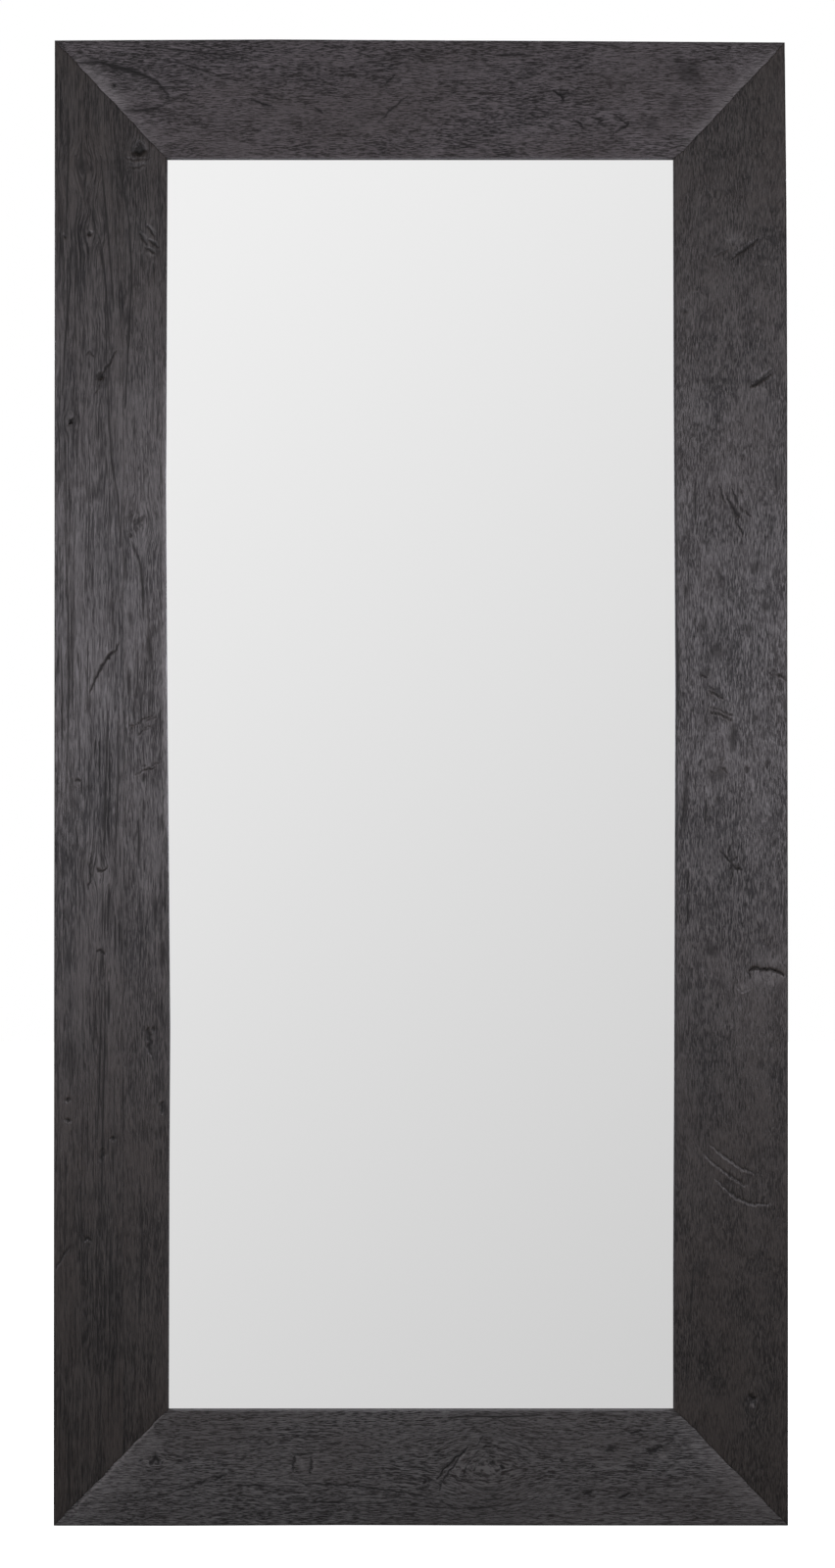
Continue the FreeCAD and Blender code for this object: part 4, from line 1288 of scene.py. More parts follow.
@dataclass
class Board:
    """One board of the frame, drawn as a short slice of its section, repeated along the grain and mitred."""

    node: str
    finish: StainedWood
    lines: FaceLines
    inward: Vector
    along: Vector
    outer: float
    inner: float
    marks: tuple[Mark, ...]
    slot: str = "stained_wood"
    rebated: bool = True
    outer_arris: float = 2.5
    inner_arris: float = 2.5
    back_arris: float = 1.5
    arris_turns: tuple[float, ...] = (0, 30, 60, 90)
    glass_gap: float = 2.0
    panel_gap: float = 1.0
    cell: float = 1.6
    least_cells: int = 2
    slice_length: float = 4.0
    spare_slices: int = 2
    fine_cuts: int = 2
    fine_depth: float = 1.0
    fine_mitre: float = 3.0
    wave_height: float = 0.7
    wave_size: float = 70.0
    wave_depth: float = 1.2
    wave_middle: float = 0.35
    tool_height: float = 0.25
    tool_size: float = 14.0
    mark_depth: float = 10.0
    mark_fade: float = 8.0
    edge_relief: float = 0.4
    map_lean: tuple[float, float] = (0.7, 0.3)
    smooth_angle: float = 40.0

    @property
    def upright(self) -> bool:
        """Tells whether the board stands upright."""
        return self.along.z > self.along.x

    @property
    def low_side(self) -> bool:
        """Tells whether the board is the left or the bottom one."""
        return self.inward.x + self.inward.z > 0

    def section(self) -> list[tuple[float, float]]:
        """Draws the section from the outer front arris, round the back, to the inner front arris.

        Returns:
            Places inward from the board's outer edge and depths, in metres.
        """
        lines = self.lines
        width = abs(self.inner - self.outer)
        first, last, rear = self.outer_arris * MM, self.inner_arris * MM, self.back_arris * MM
        turns = [math.radians(angle) for angle in self.arris_turns]
        curve = [(1 - math.sin(t), 1 - math.cos(t)) for t in turns]
        route = [(first * u, lines.front + first * v) for u, v in curve]
        route += [(0.0, lines.back - rear), (rear, lines.back)]
        if self.rebated:
            glass, panel = self.rebate_walls()
            route += [(panel, lines.back), (panel, lines.ledge), (glass, lines.ledge)]
            route += [(glass, lines.lip_back), (width, lines.lip_back)]
        else:
            route.append((width, lines.back))
        route += [(width - last * u, lines.front + last * v) for u, v in curve[::-1]]
        return route

    def rebate_walls(self) -> tuple[float, float]:
        """Finds how far in from the outer edge the walls of the two rebates stand.

        Returns:
            The wall round the glass and the wall round the panel, in metres.
        """
        side = 0 if self.low_side else 1
        axis = 0 if self.upright else 2
        return (
            abs(self.lines.glass[side][axis] - self.outer) - self.glass_gap * MM,
            abs(self.lines.panel[side][axis] - self.outer) - self.panel_gap * MM,
        )

    def span(self) -> tuple[float, float]:
        """Gives where the board starts and ends along its grain."""
        return (self.lines.bottom, self.lines.top) if self.upright else (self.lines.left, self.lines.right)

    def draw_slice(self) -> Piece:
        """Makes one slice: a strip of the face, with the rest of the section extruded from its outer edge.

        Returns:
            The slice.
        """
        route = self.section()
        width = route[-1][0] - route[0][0]
        step = self.along * self.slice_length * MM
        outer = Vector((self.outer, 0, 0)) if self.upright else Vector((0, 0, self.outer))
        corner = self.inward * route[0][0] + outer + self.along * self.span()[0] - step
        bpy.ops.object.select_all(action="DESELECT")
        cells = max(self.least_cells, round(width / (self.cell * MM)))
        bpy.ops.mesh.primitive_grid_add(x_subdivisions=cells, y_subdivisions=1, size=1.0)
        piece = bpy.context.object
        piece.name = piece.data.name = f"{self.node}_board"
        shape = Matrix.Identity(4)
        shape.col[0][:3] = self.inward * width
        shape.col[1][:3] = step
        shape.col[2][:3] = self.inward.cross(self.along)
        shape.col[3][:3] = corner + self.inward * width / 2 + step / 2 + DEPTH * self.lines.front
        piece.data.transform(shape)
        open_piece(piece)
        edge = corner.dot(self.inward)
        pick(piece, Pick.EDGE, lambda e: all(abs(v.co.dot(self.inward) - edge) < SAME_POINT for v in e.verts))
        for (u0, y0), (u1, y1) in zip(route, route[1:]):
            move = self.inward * (u1 - u0) + DEPTH * (y1 - y0)
            bpy.ops.mesh.extrude_region_move(TRANSFORM_OT_translate={"value": move})
        bpy.ops.mesh.select_all(action="SELECT")
        bpy.ops.mesh.remove_doubles(threshold=SAME_POINT)
        close_piece()
        return piece

    def repeat_slice(self, piece: Piece) -> None:
        """Repeats the slice along the grain, past both ends.

        Args:
            piece: the slice, which becomes the board.
        """
        start, end = self.span()
        array = piece.modifiers.new("slices", "ARRAY")
        array.count = math.ceil((end - start) / (self.slice_length * MM)) + self.spare_slices
        array.use_relative_offset = False
        array.use_constant_offset = True
        array.constant_offset_displace = self.along * self.slice_length * MM
        array.use_merge_vertices = True
        array.merge_threshold = SAME_POINT
        bpy.ops.object.modifier_apply(modifier=array.name)

    def mitres(self) -> list[tuple[Vector, Vector]]:
        """Finds the board's two mitres.

        Returns:
            A point on each mitre and the way out of the board there.
        """
        ends = []
        for far in (False, True):
            right, top = (not self.low_side, far) if self.upright else (far, not self.low_side)
            outer, inner = self.lines.corner(right, top)
            out = (inner - outer).cross(DEPTH).normalized()
            if out.dot(self.along) < 0:
                out.negate()
            ends.append((outer, out if far else -out))
        return ends

    def mitre_gaps(self, points: np.ndarray) -> list[np.ndarray]:
        """Measures how far points lie from the first and from the second mitre, all in metres."""
        return [np.abs((points - np.array(point)) @ np.array(out)) for point, out in self.mitres()]

    def cut_mitres(self, piece: Piece) -> None:
        """Cuts both ends to their mitres and closes them.

        Args:
            piece: the board.
        """
        open_piece(piece)
        for point, out in self.mitres():
            bpy.ops.mesh.select_all(action="SELECT")
            bpy.ops.mesh.bisect(
                plane_co=point, plane_no=out, use_fill=True, clear_outer=True, threshold=ON_CUT
            )
        bpy.ops.mesh.select_all(action="SELECT")
        bpy.ops.mesh.normals_make_consistent(inside=False)
        close_piece()

    def refine(self, piece: Piece) -> None:
        """Makes the face's mesh finer where a mark is cut into it, and along the mitres.

        Args:
            piece: the board.
        """
        mesh = piece.data
        centres = places_of(mesh.polygons, "center")
        x, z = centres[:, 0] / MM, centres[:, 2] / MM
        wanted = np.zeros(len(centres), bool)
        for mark in self.marks:
            wanted |= mark.near(x, z)
        for gap in self.mitre_gaps(centres):
            wanted |= gap < self.fine_mitre * MM
        wanted &= centres[:, 1] < self.lines.front + self.fine_depth * MM
        open_piece(piece)
        bpy.ops.mesh.select_mode(type="FACE")
        cage = bmesh.from_edit_mesh(mesh)
        cage.faces.ensure_lookup_table()
        for index in np.flatnonzero(wanted):
            cage.faces[index].select_set(True)
        bmesh.update_edit_mesh(mesh)
        bpy.ops.mesh.subdivide(number_cuts=self.fine_cuts)
        close_piece()

    def plane_by_hand(self, piece: Piece) -> None:
        """Gives the face the slow waves and small facets of hand planing.

        Args:
            piece: the board.
        """
        depths = places_of(piece.data.vertices, "co")[:, 1]
        face = np.flatnonzero(depths < self.lines.front + self.wave_depth * MM)
        group = piece.vertex_groups.new(name="face")
        group.add(face.tolist(), 1.0, "REPLACE")
        forms = (("waves", self.wave_size, self.wave_height), ("facets", self.tool_size, self.tool_height))
        for label, size, height in forms:
            pattern = bpy.data.textures.new(f"{self.node}_{label}", "CLOUDS")
            pattern.noise_scale = size * MM
            move = piece.modifiers.new(label, "DISPLACE")
            move.texture = pattern
            move.texture_coords = "LOCAL"
            move.direction = "Y"
            move.vertex_group = group.name
            move.mid_level = self.wave_middle
            move.strength = height * MM
            bpy.ops.object.modifier_apply(modifier=move.name)

    def carve(self, piece: Piece, wander: HandWander) -> None:
        """Cuts the marks into the face, lets the edges stray, and keeps what the finish needs on each vertex.

        Args:
            piece: the board.
            wander: how the planed edges stray.
        """
        mesh = piece.data
        points = places_of(mesh.vertices, "co")
        face = np.clip((self.lines.front + self.mark_depth * MM - points[:, 1]) / (self.mark_fade * MM), 0, 1)
        work = FaceWork(points[:, 0] / MM, points[:, 2] / MM, self.upright)
        for mark in self.marks:
            work.cut(mark)
        for gap in self.mitre_gaps(points):
            work.open_joint(gap / MM)
        points[:, 1] += work.sunk * face * MM
        points = wander.move(points, self.lines)
        mesh.vertices.foreach_set("co", points.ravel())
        rounded = np.clip((points[:, 1] - self.lines.front) / (self.outer_arris * MM), 0, 1)
        relief = 1 - (1 - self.edge_relief) * rounded
        for name, values in (("mark", work.stain_and_hollow_shade * face), ("rub", work.wear_and_sheen_tone * face), ("relief", relief)):
            mesh.attributes.new(name, "FLOAT", "POINT").data.foreach_set("value", values)
        mesh.attributes.new("bend", "FLOAT_VECTOR", "POINT").data.foreach_set("vector", work.bend.ravel())
        mesh.update()

    def lay_grain(self, piece: Piece) -> None:
        """Lays a map on the board whose first axis runs across the grain, for the sheen.

        Args:
            piece: the board.
        """
        mesh = piece.data
        points = places_of(mesh.vertices, "co")
        lean_across, lean_along = self.map_lean
        across = points @ np.array(self.inward) + lean_across * points[:, 1]
        along = points @ np.array(self.along) + lean_along * points[:, 1]
        owner = np.empty(len(mesh.loops), dtype=np.int32)
        mesh.loops.foreach_get("vertex_index", owner)
        layer = mesh.uv_layers.new(name="grain")
        layer.data.foreach_set("uv", np.column_stack((across, along))[owner].ravel())

    def build(self, wander: HandWander) -> Piece:
        """Makes the board and dresses it.

        Args:
            wander: how the planed edges stray.

        Returns:
            The finished board.
        """
        piece = self.draw_slice()
        self.repeat_slice(piece)
        self.cut_mitres(piece)
        self.refine(piece)
        self.plane_by_hand(piece)
        self.carve(piece, wander)
        self.lay_grain(piece)
        bpy.ops.object.shade_smooth_by_angle(angle=math.radians(self.smooth_angle))
        piece.data.materials.append(self.finish.build())
        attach(piece, "frame")
        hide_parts(self.node)
        return piece


@dataclass
class MitredFrame:
    """The four sides of the frame: two rails, one solid stile and one stile glued up from two strips."""

    lines: FaceLines
    seam_arris: float = 0.5
    rail_lively: float = 1.15
    rail_calm: float = 1.0
    stile_middle: float = 0.52
    # The rails' palest colours are lighter than the stiles' to paint in the sheen that level grain throws
    # under the side soft boxes.
    top_pale_with_painted_sheen: str = "#3f3a3a"
    bottom_pale_with_painted_sheen: str = "#413f3d"

    def rail_wood(self, name: str, grain: Layers, pores: Layers, pale: str) -> StainedWood:
        """Gives the finish of a rail, by its name, its grain, its pores and its palest colour, which is raised
        to paint in the rail's sheen.
        """
        name = f"black_stained_acacia_{name}"
        return StainedWood(
            name, GrainRun.LEVEL, grain, pores, pale=pale, lively=self.rail_lively, calm=self.rail_calm
        )

    def stile_wood(self, name: str, grain: Layers, pores: Layers) -> StainedWood:
        """Gives the finish of an upright board, by its name, its grain and its pores."""
        name = f"black_stained_acacia_{name}"
        return StainedWood(name, GrainRun.UPRIGHT, grain, pores, middle=self.stile_middle)

    def boards(self) -> list[Board]:
        """Lists the boards with their places, finishes and marks.

        Returns:
            The boards, before they are built.
        """
        lines = self.lines
        across, up = Vector((1, 0, 0)), Vector((0, 0, 1))
        top = self.rail_wood("top_rail", RAIL_GRAIN, RAIL_PORES, self.top_pale_with_painted_sheen)
        bottom = self.rail_wood("bottom_rail", DASHED_GRAIN, DASHED_PORES, self.bottom_pale_with_painted_sheen)
        outer = self.stile_wood("outer_strip", STREAKED_GRAIN, STREAKED_PORES)
        inner = self.stile_wood("inner_strip", INNER_GRAIN, INNER_PORES)
        right = self.stile_wood("right_stile", STILE_GRAIN, STILE_PORES)
        seam = self.seam_arris
        boards = (
            ("top_rail", top, -up, across, lines.top, lines.inner_top, TOP_RAIL_MARKS, {}),
            ("bottom_rail", bottom, up, across, lines.bottom, lines.inner_bottom, BOTTOM_RAIL_MARKS, {}),
            ("left_stile_outer_strip", outer, across, up, lines.left, lines.seam, OUTER_STRIP_MARKS,
             {"rebated": False, "inner_arris": seam}),
            ("left_stile_inner_strip", inner, across, up, lines.seam, lines.inner_left, INNER_STRIP_MARKS,
             {"outer_arris": seam}),
            ("right_stile", right, -across, up, lines.right, lines.inner_right, RIGHT_STILE_MARKS, {}),
        )
        return [Board(node, finish, lines, *places, **sizes) for node, finish, *places, sizes in boards]

    def build(self) -> list[Piece]:
        """Builds every board."""
        wander = HandWander()
        return [board.build(wander) for board in self.boards()]


def turn_piece(name: str, stations: Path, sides: int) -> Piece:
    """Turns a closed piece about the Y axis.

    Args:
        name: the piece's name.
        stations: radii and depths from one end to the other, in millimetres.
        sides: how many sides stand for the round.

    Returns:
        The piece.
    """
    bpy.ops.object.select_all(action="DESELECT")
    radius, depth = stations[0]
    bpy.ops.mesh.primitive_circle_add(vertices=sides, radius=radius * MM, fill_type="NGON")
    piece = bpy.context.object
    piece.name = piece.data.name = name
    piece.data.transform(Matrix.Translation((0, depth * MM, 0)) @ Matrix.Rotation(math.radians(90), 4, "X"))
    open_piece(piece)
    bpy.ops.mesh.select_all(action="SELECT")
    for (radius, depth), (next_radius, next_depth) in zip(stations, stations[1:]):
        step = (0, (next_depth - depth) * MM, 0)
        bpy.ops.mesh.extrude_region_move(TRANSFORM_OT_translate={"value": step})
        share = next_radius / radius
        bpy.ops.transform.resize(value=(share, 1, share), center_override=(0, next_depth * MM, 0))
    bpy.ops.mesh.select_all(action="SELECT")
    bpy.ops.mesh.fill_holes(sides=0)
    bpy.ops.mesh.normals_make_consistent(inside=False)
    close_piece()
    return piece


def copy_pieces(model: Piece, places: list[Vector], turn: float) -> Piece:
    """Puts a copy of a model at each place, each turned a little further about Y, and joins them.

    Args:
        model: the piece that is copied, at the origin. It takes the first place itself.
        places: where the copies go.
        turn: how much further each copy is turned, in degrees.

    Returns:
        The joined piece, which is the model.
    """
    copies = [model]
    for _ in places[1:]:
        twin = model.copy()
        twin.data = model.data.copy()
        bpy.context.collection.objects.link(twin)
        copies.append(twin)
    bpy.ops.object.select_all(action="DESELECT")
    for index, (twin, place) in enumerate(zip(copies, places)):
        spin = Matrix.Rotation(math.radians(turn * index), 4, "Y")
        twin.data.transform(Matrix.Translation(place) @ spin)
        twin.select_set(True)
    bpy.context.view_layer.objects.active = model
    bpy.ops.object.join()
    return model


def group_places(node: Piece, spacing: float) -> list[Vector]:
    """Finds the axis of each solid in a packed group of turned solids.

    Args:
        node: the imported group, whose solids stand along Y.
        spacing: the least distance between two of them, in millimetres.

    Returns:
        The middle of each solid, at the depth of its end that faces the wall.
    """
    clusters: list[list[Vector]] = []
    for vertex in node.data.vertices:
        near = (c for c in clusters if math.hypot(c[0].x - vertex.co.x, c[0].z - vertex.co.z) < spacing * MM)
        home = next(near, None)
        if home is None:
            clusters.append([vertex.co])
        else:
            home.append(vertex.co)
    places = []
    for points in clusters:
        x, z = [p.x for p in points], [p.z for p in points]
        places.append(Vector(((min(x) + max(x)) / 2, max(p.y for p in points), (min(z) + max(z)) / 2)))
    return places


class HeadForm(Enum):
    """How a screw's head is shaped."""

    FLUSH = "countersunk"
    ROUND = "round"


@dataclass(frozen=True)
class CrossScrews:
    """A group of screws with a cross recess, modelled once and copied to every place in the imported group."""

    node: str
    head: HeadForm
    head_radius: float
    head_height: float
    shank_radius: float
    length: float
    tip_radius_share: float = 0.3
    tip_length_share: float = 0.15
    flush_rim: tuple[float, float, float] = (0.35, 0.15, 0.2)
    round_rim: float = 0.3
    round_turns: tuple[float, ...] = (25, 45, 62, 78)
    recess_share: float = 0.62
    recess_width: float = 0.9
    recess_depth: float = 1.3
    arm_taper: tuple[float, float, float] = (0.75, 0.6, 0.75)
    same_side: float = 0.1
    head_spacing: float = 1.0
    sides: int = 24
    turn: float = 37.0
    smooth_angle: float = 32.0

    def stations(self) -> Path:
        """Draws the screw from its point to the top of its head, which is at depth zero.

        Returns:
            Radii and depths, in millimetres.
        """
        radius, height, shank = self.head_radius, self.head_height, self.shank_radius
        below = self.length if self.head is HeadForm.FLUSH else self.length + height
        rows = [
            (self.tip_radius_share * shank, -below),
            (shank, -below + self.tip_length_share * self.length),
            (shank, -height),
        ]
        if self.head is HeadForm.FLUSH:
            low, high, ease = self.flush_rim
            return (*rows, (radius, -low), (radius, -high), (radius - ease, 0.0))
        rim = self.round_rim
        rows += [(radius - rim, -height), (radius, -height + rim)]
        turns = [math.radians(angle) for angle in self.round_turns]
        return (*rows, *((radius * math.cos(t), (height - rim) * (math.sin(t) - 1)) for t in turns))

    def cutter(self) -> Piece:
        """Makes the cross that the recess is cut with: a small core with four tapering arms.

        Returns:
            The cross.
        """
        bpy.ops.object.select_all(action="DESELECT")
        bpy.ops.mesh.primitive_cube_add(size=1.0)
        cross = bpy.context.object
        width, depth = self.recess_width * MM, self.recess_depth * MM
        cross.data.transform(Matrix.Diagonal((width, 2 * depth, width, 1)))
        open_piece(cross)
        for way in (Vector((1, 0, 0)), Vector((-1, 0, 0)), Vector((0, 0, 1)), Vector((0, 0, -1))):
            side = way * width / 2
            slack = self.same_side * width
            pick(cross, Pick.FACE, lambda f: (f.calc_center_median() - side).length < slack)
            arm = way * (self.recess_share * self.head_radius * MM - width / 2)
            bpy.ops.mesh.extrude_region_move(TRANSFORM_OT_translate={"value": arm})
            bpy.ops.transform.resize(value=self.arm_taper, center_override=arm + side + DEPTH * depth)
        close_piece()
        return cross

    def build(self, nodes: PackedNodes, finish: bpy.types.Material) -> Piece:
        """Makes the group of screws.

        Args:
            nodes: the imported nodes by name.
            finish: the screws' material.

        Returns:
            The piece.
        """
        screw = turn_piece(f"{self.node}_crossed", self.stations(), self.sides)
        cross = self.cutter()
        recess = screw.modifiers.new("recess", "BOOLEAN")
        recess.object = cross
        recess.operation = "DIFFERENCE"
        recess.solver = "EXACT"
        bpy.context.view_layer.objects.active = screw
        bpy.ops.object.modifier_apply(modifier=recess.name)
        bpy.data.objects.remove(cross)
        places = group_places(nodes[self.node], 2 * self.head_radius + self.head_spacing)
        piece = copy_pieces(screw, places, self.turn)
        bpy.ops.object.shade_smooth_by_angle(angle=math.radians(self.smooth_angle))
        piece.data.materials.append(finish)
        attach(piece, "frame")
        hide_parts(self.node)
        return piece


@dataclass(frozen=True)
class WallBumpers:
    """The four rubber bumpers: turned cones with rounded rims and a well for the screw."""

    node: str = "wall_bumpers"
    height: float = 9.0
    base_radius: float = 12.0
    base_ease: tuple[float, float] = (0.4, 0.5)
    face_radius: float = 10.0
    well_radius: float = 5.0
    well_ease: float = 0.4
    floor: float = 3.0
    rim: float = 0.9
    rim_turns: tuple[float, ...] = (0, 22, 45, 68, 90)
    well_turns: tuple[float, ...] = (0, 0.4, 0.8, 1.2, math.pi / 2)
    sides: int = 48
    spacing: float = 40.0
    smooth_angle: float = 40.0

    def stations(self) -> Path:
        """Draws the bumper from its base, over its rim, to the floor of its well.

        Returns:
            Radii and depths, in millimetres.
        """
        height, rim, well, ease = self.height, self.rim, self.well_radius, self.well_ease
        slope = (self.base_radius - self.face_radius) / height
        shoulder = self.face_radius + slope * rim
        turns = [math.radians(angle) for angle in self.rim_turns]
        return (
            (self.base_radius - self.base_ease[0], -height),
            (self.base_radius, self.base_ease[1] - height),
            *((shoulder - rim * (1 - math.cos(t)), rim * (math.sin(t) - 1)) for t in turns),
            *((well + rim * (1 - math.sin(t)), rim * (math.cos(t) - 1)) for t in self.well_turns),
            (well, self.floor - height + ease),
            (well - ease, self.floor - height),
        )

    def build(self, nodes: PackedNodes, finish: bpy.types.Material) -> Piece:
        """Makes the four bumpers.

        Args:
            nodes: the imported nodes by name.
            finish: the rubber's material.

        Returns:
            The piece.
        """
        piece = turn_piece(f"{self.node}_turned", self.stations(), self.sides)
        copy_pieces(piece, group_places(nodes[self.node], self.spacing), 0.0)
        bpy.ops.object.shade_smooth_by_angle(angle=math.radians(self.smooth_angle))
        piece.data.materials.append(finish)
        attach(piece, "frame")
        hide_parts(self.node)
        return piece


@dataclass(frozen=True)
class PressedSteel:
    """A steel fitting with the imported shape, its sharp edges eased as pressing and plating leave them."""

    node: str
    body: str = "frame"
    ease: float = 0.35
    ease_cuts: int = 2
    flat_angle: float = 1.0
    sharp_angle: float = 50.0
    smooth_angle: float = 35.0

    def build(self, nodes: PackedNodes, finish: bpy.types.Material) -> Piece:
        """Makes the fitting.

        Args:
            nodes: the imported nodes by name.
            finish: the steel's material.

        Returns:
            The piece.
        """
        piece = bpy.data.objects.new(f"{self.node}_pressed", nodes[self.node].data.copy())
        bpy.context.collection.objects.link(piece)
        open_piece(piece)
        bpy.ops.mesh.select_all(action="SELECT")
        bpy.ops.mesh.remove_doubles(threshold=SAME_POINT)
        bpy.ops.mesh.dissolve_limited(angle_limit=math.radians(self.flat_angle))
        if self.ease:
            bpy.ops.mesh.select_mode(type="EDGE")
            bpy.ops.mesh.select_all(action="DESELECT")
            bpy.ops.mesh.edges_select_sharp(sharpness=math.radians(self.sharp_angle))
            bpy.ops.mesh.bevel(
                offset=self.ease * MM, segments=self.ease_cuts, affect="EDGES", clamp_overlap=True
            )
        close_piece()
        bpy.ops.object.shade_smooth_by_angle(angle=math.radians(self.smooth_angle))
        if self.ease:
            flats = piece.modifiers.new("flats", "WEIGHTED_NORMAL")
            flats.keep_sharp = True
            bpy.ops.object.modifier_apply(modifier=flats.name)
        piece.data.materials.clear()
        piece.data.materials.append(finish)
        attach(piece, self.body)
        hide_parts(self.node)
        return piece


@dataclass(frozen=True)
class Fittings:
    """The plate, the backing and the fittings on the back, and the finish of each."""

    corners: tuple[str, ...] = ("top_left", "top_right", "bottom_left", "bottom_right")
    sides: tuple[str, ...] = ("left", "right")
    strap_ease: float = 0.3

    def dress(self, nodes: PackedNodes) -> None:
        """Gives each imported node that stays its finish.

        Args:
            nodes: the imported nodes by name.
        """
        tongues = tuple(f"{corner}_tongue" for corner in self.corners)
        finishes = (
            (("mirror_glass",), SILVERED_GLASS),
            (("backing_panel",), HARDBOARD),
            (tongues, RAW_BEECH),
            (("setting_blocks",), MOULDED_RUBBER),
        )
        for names, finish in finishes:
            material = finish.build()
            for name in names:
                nodes[name].data.materials.clear()
                nodes[name].data.materials.append(material)

    def build(self, nodes: PackedNodes) -> list[Piece]:
        """Makes the steel and rubber fittings.

        Args:
            nodes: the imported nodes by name.

        Returns:
            The pieces.
        """
        steel, rubber = ZINC_STEEL.build(), replace(MOULDED_RUBBER, name="moulded_rubber_bumper").build()
        screws = (
            CrossScrews("backing_screws", HeadForm.FLUSH, 3.5, 2.2, 1.75, 20.0),
            CrossScrews("corner_plate_screws", HeadForm.FLUSH, 3.9, 2.3, 2.0, 15.0),
            CrossScrews("hanger_screws", HeadForm.ROUND, 4.0, 2.4, 2.0, 28.0),
            CrossScrews("bumper_screws", HeadForm.ROUND, 3.6, 2.2, 1.75, 20.0),
        )
        pressed = [PressedSteel(f"{corner}_corner_plate") for corner in self.corners]
        pressed += [PressedSteel(f"{side}_hanger_strap", ease=self.strap_ease) for side in self.sides]
        pressed += [PressedSteel(f"{side}_hanger_ring", f"{side}_ring", 0.0) for side in self.sides]
        pieces = [group.build(nodes, steel) for group in (*screws, *pressed)]
        return [*pieces, WallBumpers().build(nodes, rubber)]


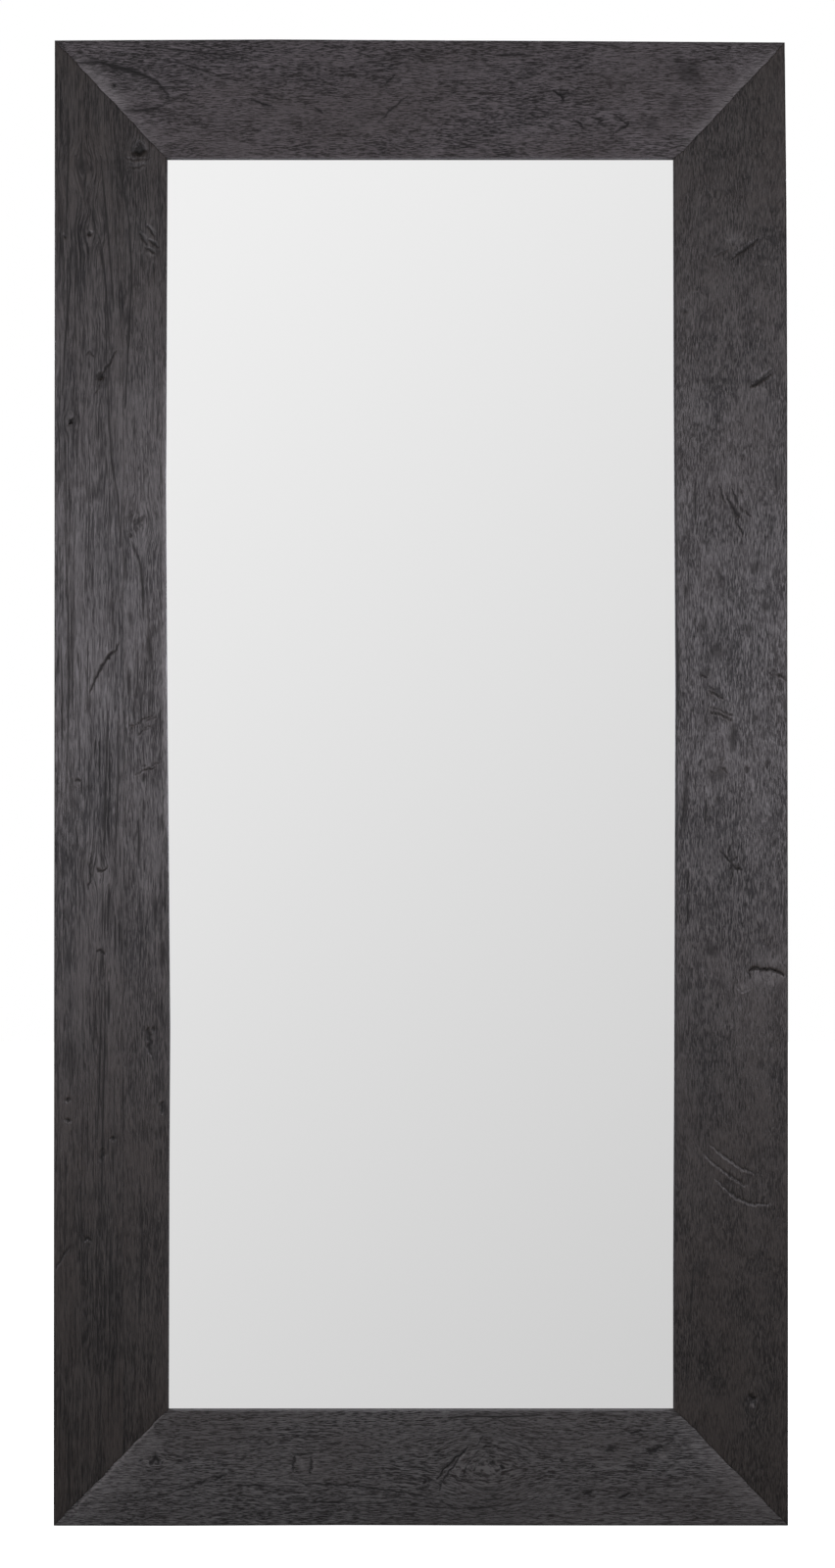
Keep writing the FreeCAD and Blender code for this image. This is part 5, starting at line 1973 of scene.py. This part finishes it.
@dataclass(frozen=True)
class Studio:
    """A white studio: a pale floor, a soft dome, soft boxes in front, behind and above, and the camera."""

    image_height: int = 1600
    pixels_per_metre: float = 831.4
    middle_offset: tuple[float, float] = (-0.0041, -0.0012)
    distance: float = 8.0
    sensor: float = 36.0
    box_place: tuple[float, float, float] = (1.0, -1.25, 1.1)
    box_size: tuple[float, float] = (0.6, 0.6)
    box_power: float = 36.0
    box_colour: str = "#f2f2ff"
    box_aim: tuple[float, float] = (0.38, 1.1)
    floor_size: float = 30.0
    floor_drop: float = 1.0
    floor_colour: str = "#f4f4f4"
    floor_roughness: float = 0.9
    back_box_place: tuple[float, float, float] = (1.5, 1.7, 1.6)
    back_box_power: float = 24.0
    top_box_place: tuple[float, float, float] = (0.0, 0.9, 3.2)
    top_box_power: float = 22.0
    dome_level: float = 0.27
    back_dome_level: float = 0.5
    back_dome_window: tuple[float, float] = (0.1, 0.6)
    card_level: float = 0.53
    card_spread: float = 0.3
    card_swing: float = 0.32
    card_rise: float = 3.55
    card_side: float = 3.5

    def build(self, lines: FaceLines) -> None:
        """Sets up the camera, the floor and the light.

        Args:
            lines: the frame's lines.
        """
        self.add_camera(lines)
        self.add_floor(lines)
        self.add_dome()
        for side, name in ((-1, "left"), (1, "right")):
            aim = Vector((side * self.box_aim[0], 0, self.box_aim[1]))
            for label, place, power in (
                ("soft_box", self.box_place, self.box_power),
                ("back_soft_box", self.back_box_place, self.back_box_power),
            ):
                self.add_soft_box(f"{label}_{name}", Vector((side * place[0], *place[1:])), aim, power)
        aim = Vector((0, 0, lines.top))
        self.add_soft_box("top_soft_box", Vector(self.top_box_place), aim, self.top_box_power)
        bpy.context.scene.view_settings.view_transform = "Standard"

    def add_camera(self, lines: FaceLines) -> None:
        """Puts the camera straight in front, at the photograph's scale.

        Args:
            lines: the frame's lines.
        """
        camera = bpy.data.objects.new("camera", bpy.data.cameras.new("camera"))
        bpy.context.collection.objects.link(camera)
        camera.data.sensor_fit = "AUTO"
        camera.data.sensor_width = self.sensor
        camera.data.lens = self.sensor * self.distance / (self.image_height / self.pixels_per_metre)
        camera.location = (
            (lines.left + lines.right) / 2 + self.middle_offset[0],
            lines.front - self.distance,
            (lines.bottom + lines.top) / 2 + self.middle_offset[1],
        )
        camera.rotation_euler = (math.pi / 2, 0, 0)
        bpy.context.scene.camera = camera

    def add_floor(self, lines: FaceLines) -> None:
        """Lays a white floor that gives its own light, so that no shadow lies on it.

        Args:
            lines: the frame's lines.
        """
        bpy.ops.object.select_all(action="DESELECT")
        height = lines.bottom - self.floor_drop * MM
        bpy.ops.mesh.primitive_plane_add(size=self.floor_size, location=(0, 0, height))
        floor = bpy.context.object
        floor.name = "floor"
        # White paper gives the eye an even ground without a shadow or an edge.
        material, tree, shader = new_material("white_paper")
        looks = {
            "Base Color": self.floor_colour,
            "Roughness": self.floor_roughness,
            "Emission Color": WHITE,
            "Emission Strength": 1.0,
        }
        feed(tree, shader, looks)
        floor.data.materials.append(material)
        floor.visible_diffuse = False
        floor.visible_glossy = False

    def add_dome(self) -> None:
        """Makes the dome: white to the camera, else dim, with a bright graded card behind the camera."""
        world = bpy.data.worlds.new("studio")
        world.use_nodes = True
        bpy.context.scene.world = world
        tree = world.node_tree
        tree.nodes.clear()
        way = add_node(tree, "ShaderNodeTexCoord").outputs["Generated"]
        across, ahead, up = add_node(tree, "ShaderNodeSeparateXYZ", {0: way}).outputs
        rise = reckon(tree, "MULTIPLY", up, self.card_rise)
        lean = reckon(tree, "MULTIPLY_ADD", across, -self.card_side, rise)
        card = reckon(tree, "MULTIPLY_ADD", reckon(tree, "TANH", lean), self.card_swing, self.card_level)
        rim, core = -math.cos(self.card_spread), -math.cos(self.card_spread / 2)
        inside = remap(tree, ahead, rim, core, ease=True)
        dome = remap(tree, ahead, *self.back_dome_window, self.dome_level, self.back_dome_level, ease=True)
        level = reckon(tree, "MULTIPLY_ADD", card, inside, dome)
        seen = add_node(tree, "ShaderNodeLightPath").outputs["Is Camera Ray"]
        strength = add_node(tree, "ShaderNodeMix", {0: seen, 2: level, 3: 1.0}, data_type="FLOAT").outputs[0]
        back = add_node(tree, "ShaderNodeBackground", {"Color": WHITE, "Strength": strength})
        add_node(tree, "ShaderNodeOutputWorld", {"Surface": back.outputs[0]})

    def add_soft_box(self, name: str, place: Vector, aim: Vector, power: float) -> None:
        """Adds one soft box.

        Args:
            name: the light's name.
            place: where it stands.
            aim: the point that it faces.
            power: its power in watts.
        """
        data = bpy.data.lights.new(name, "AREA")
        data.shape = "RECTANGLE"
        data.size, data.size_y = self.box_size
        data.energy = power
        data.color = linear(self.box_colour)[:3]
        lamp = bpy.data.objects.new(data.name, data)
        bpy.context.collection.objects.link(lamp)
        lamp.location = place
        lamp.visible_camera = False
        lamp.rotation_mode = "QUATERNION"
        lamp.rotation_quaternion = (aim - place).to_track_quat("-Z", "Y")


def main() -> None:
    """Builds the pieces in order and reports each one."""
    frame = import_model()
    lines = FaceLines.from_nodes()
    Studio().build(lines)
    for piece in MitredFrame(lines).build():
        LOG.info("%s: %d faces", piece.name, len(piece.data.polygons))
    fittings = Fittings()
    fittings.dress(frame["nodes"])
    for piece in fittings.build(frame["nodes"]):
        LOG.info("%s: %d faces", piece.name, len(piece.data.polygons))
    bpy.context.view_layer.update()


if __name__ == "__main__":
    logging.basicConfig(level=logging.INFO, format="%(message)s")
    main()
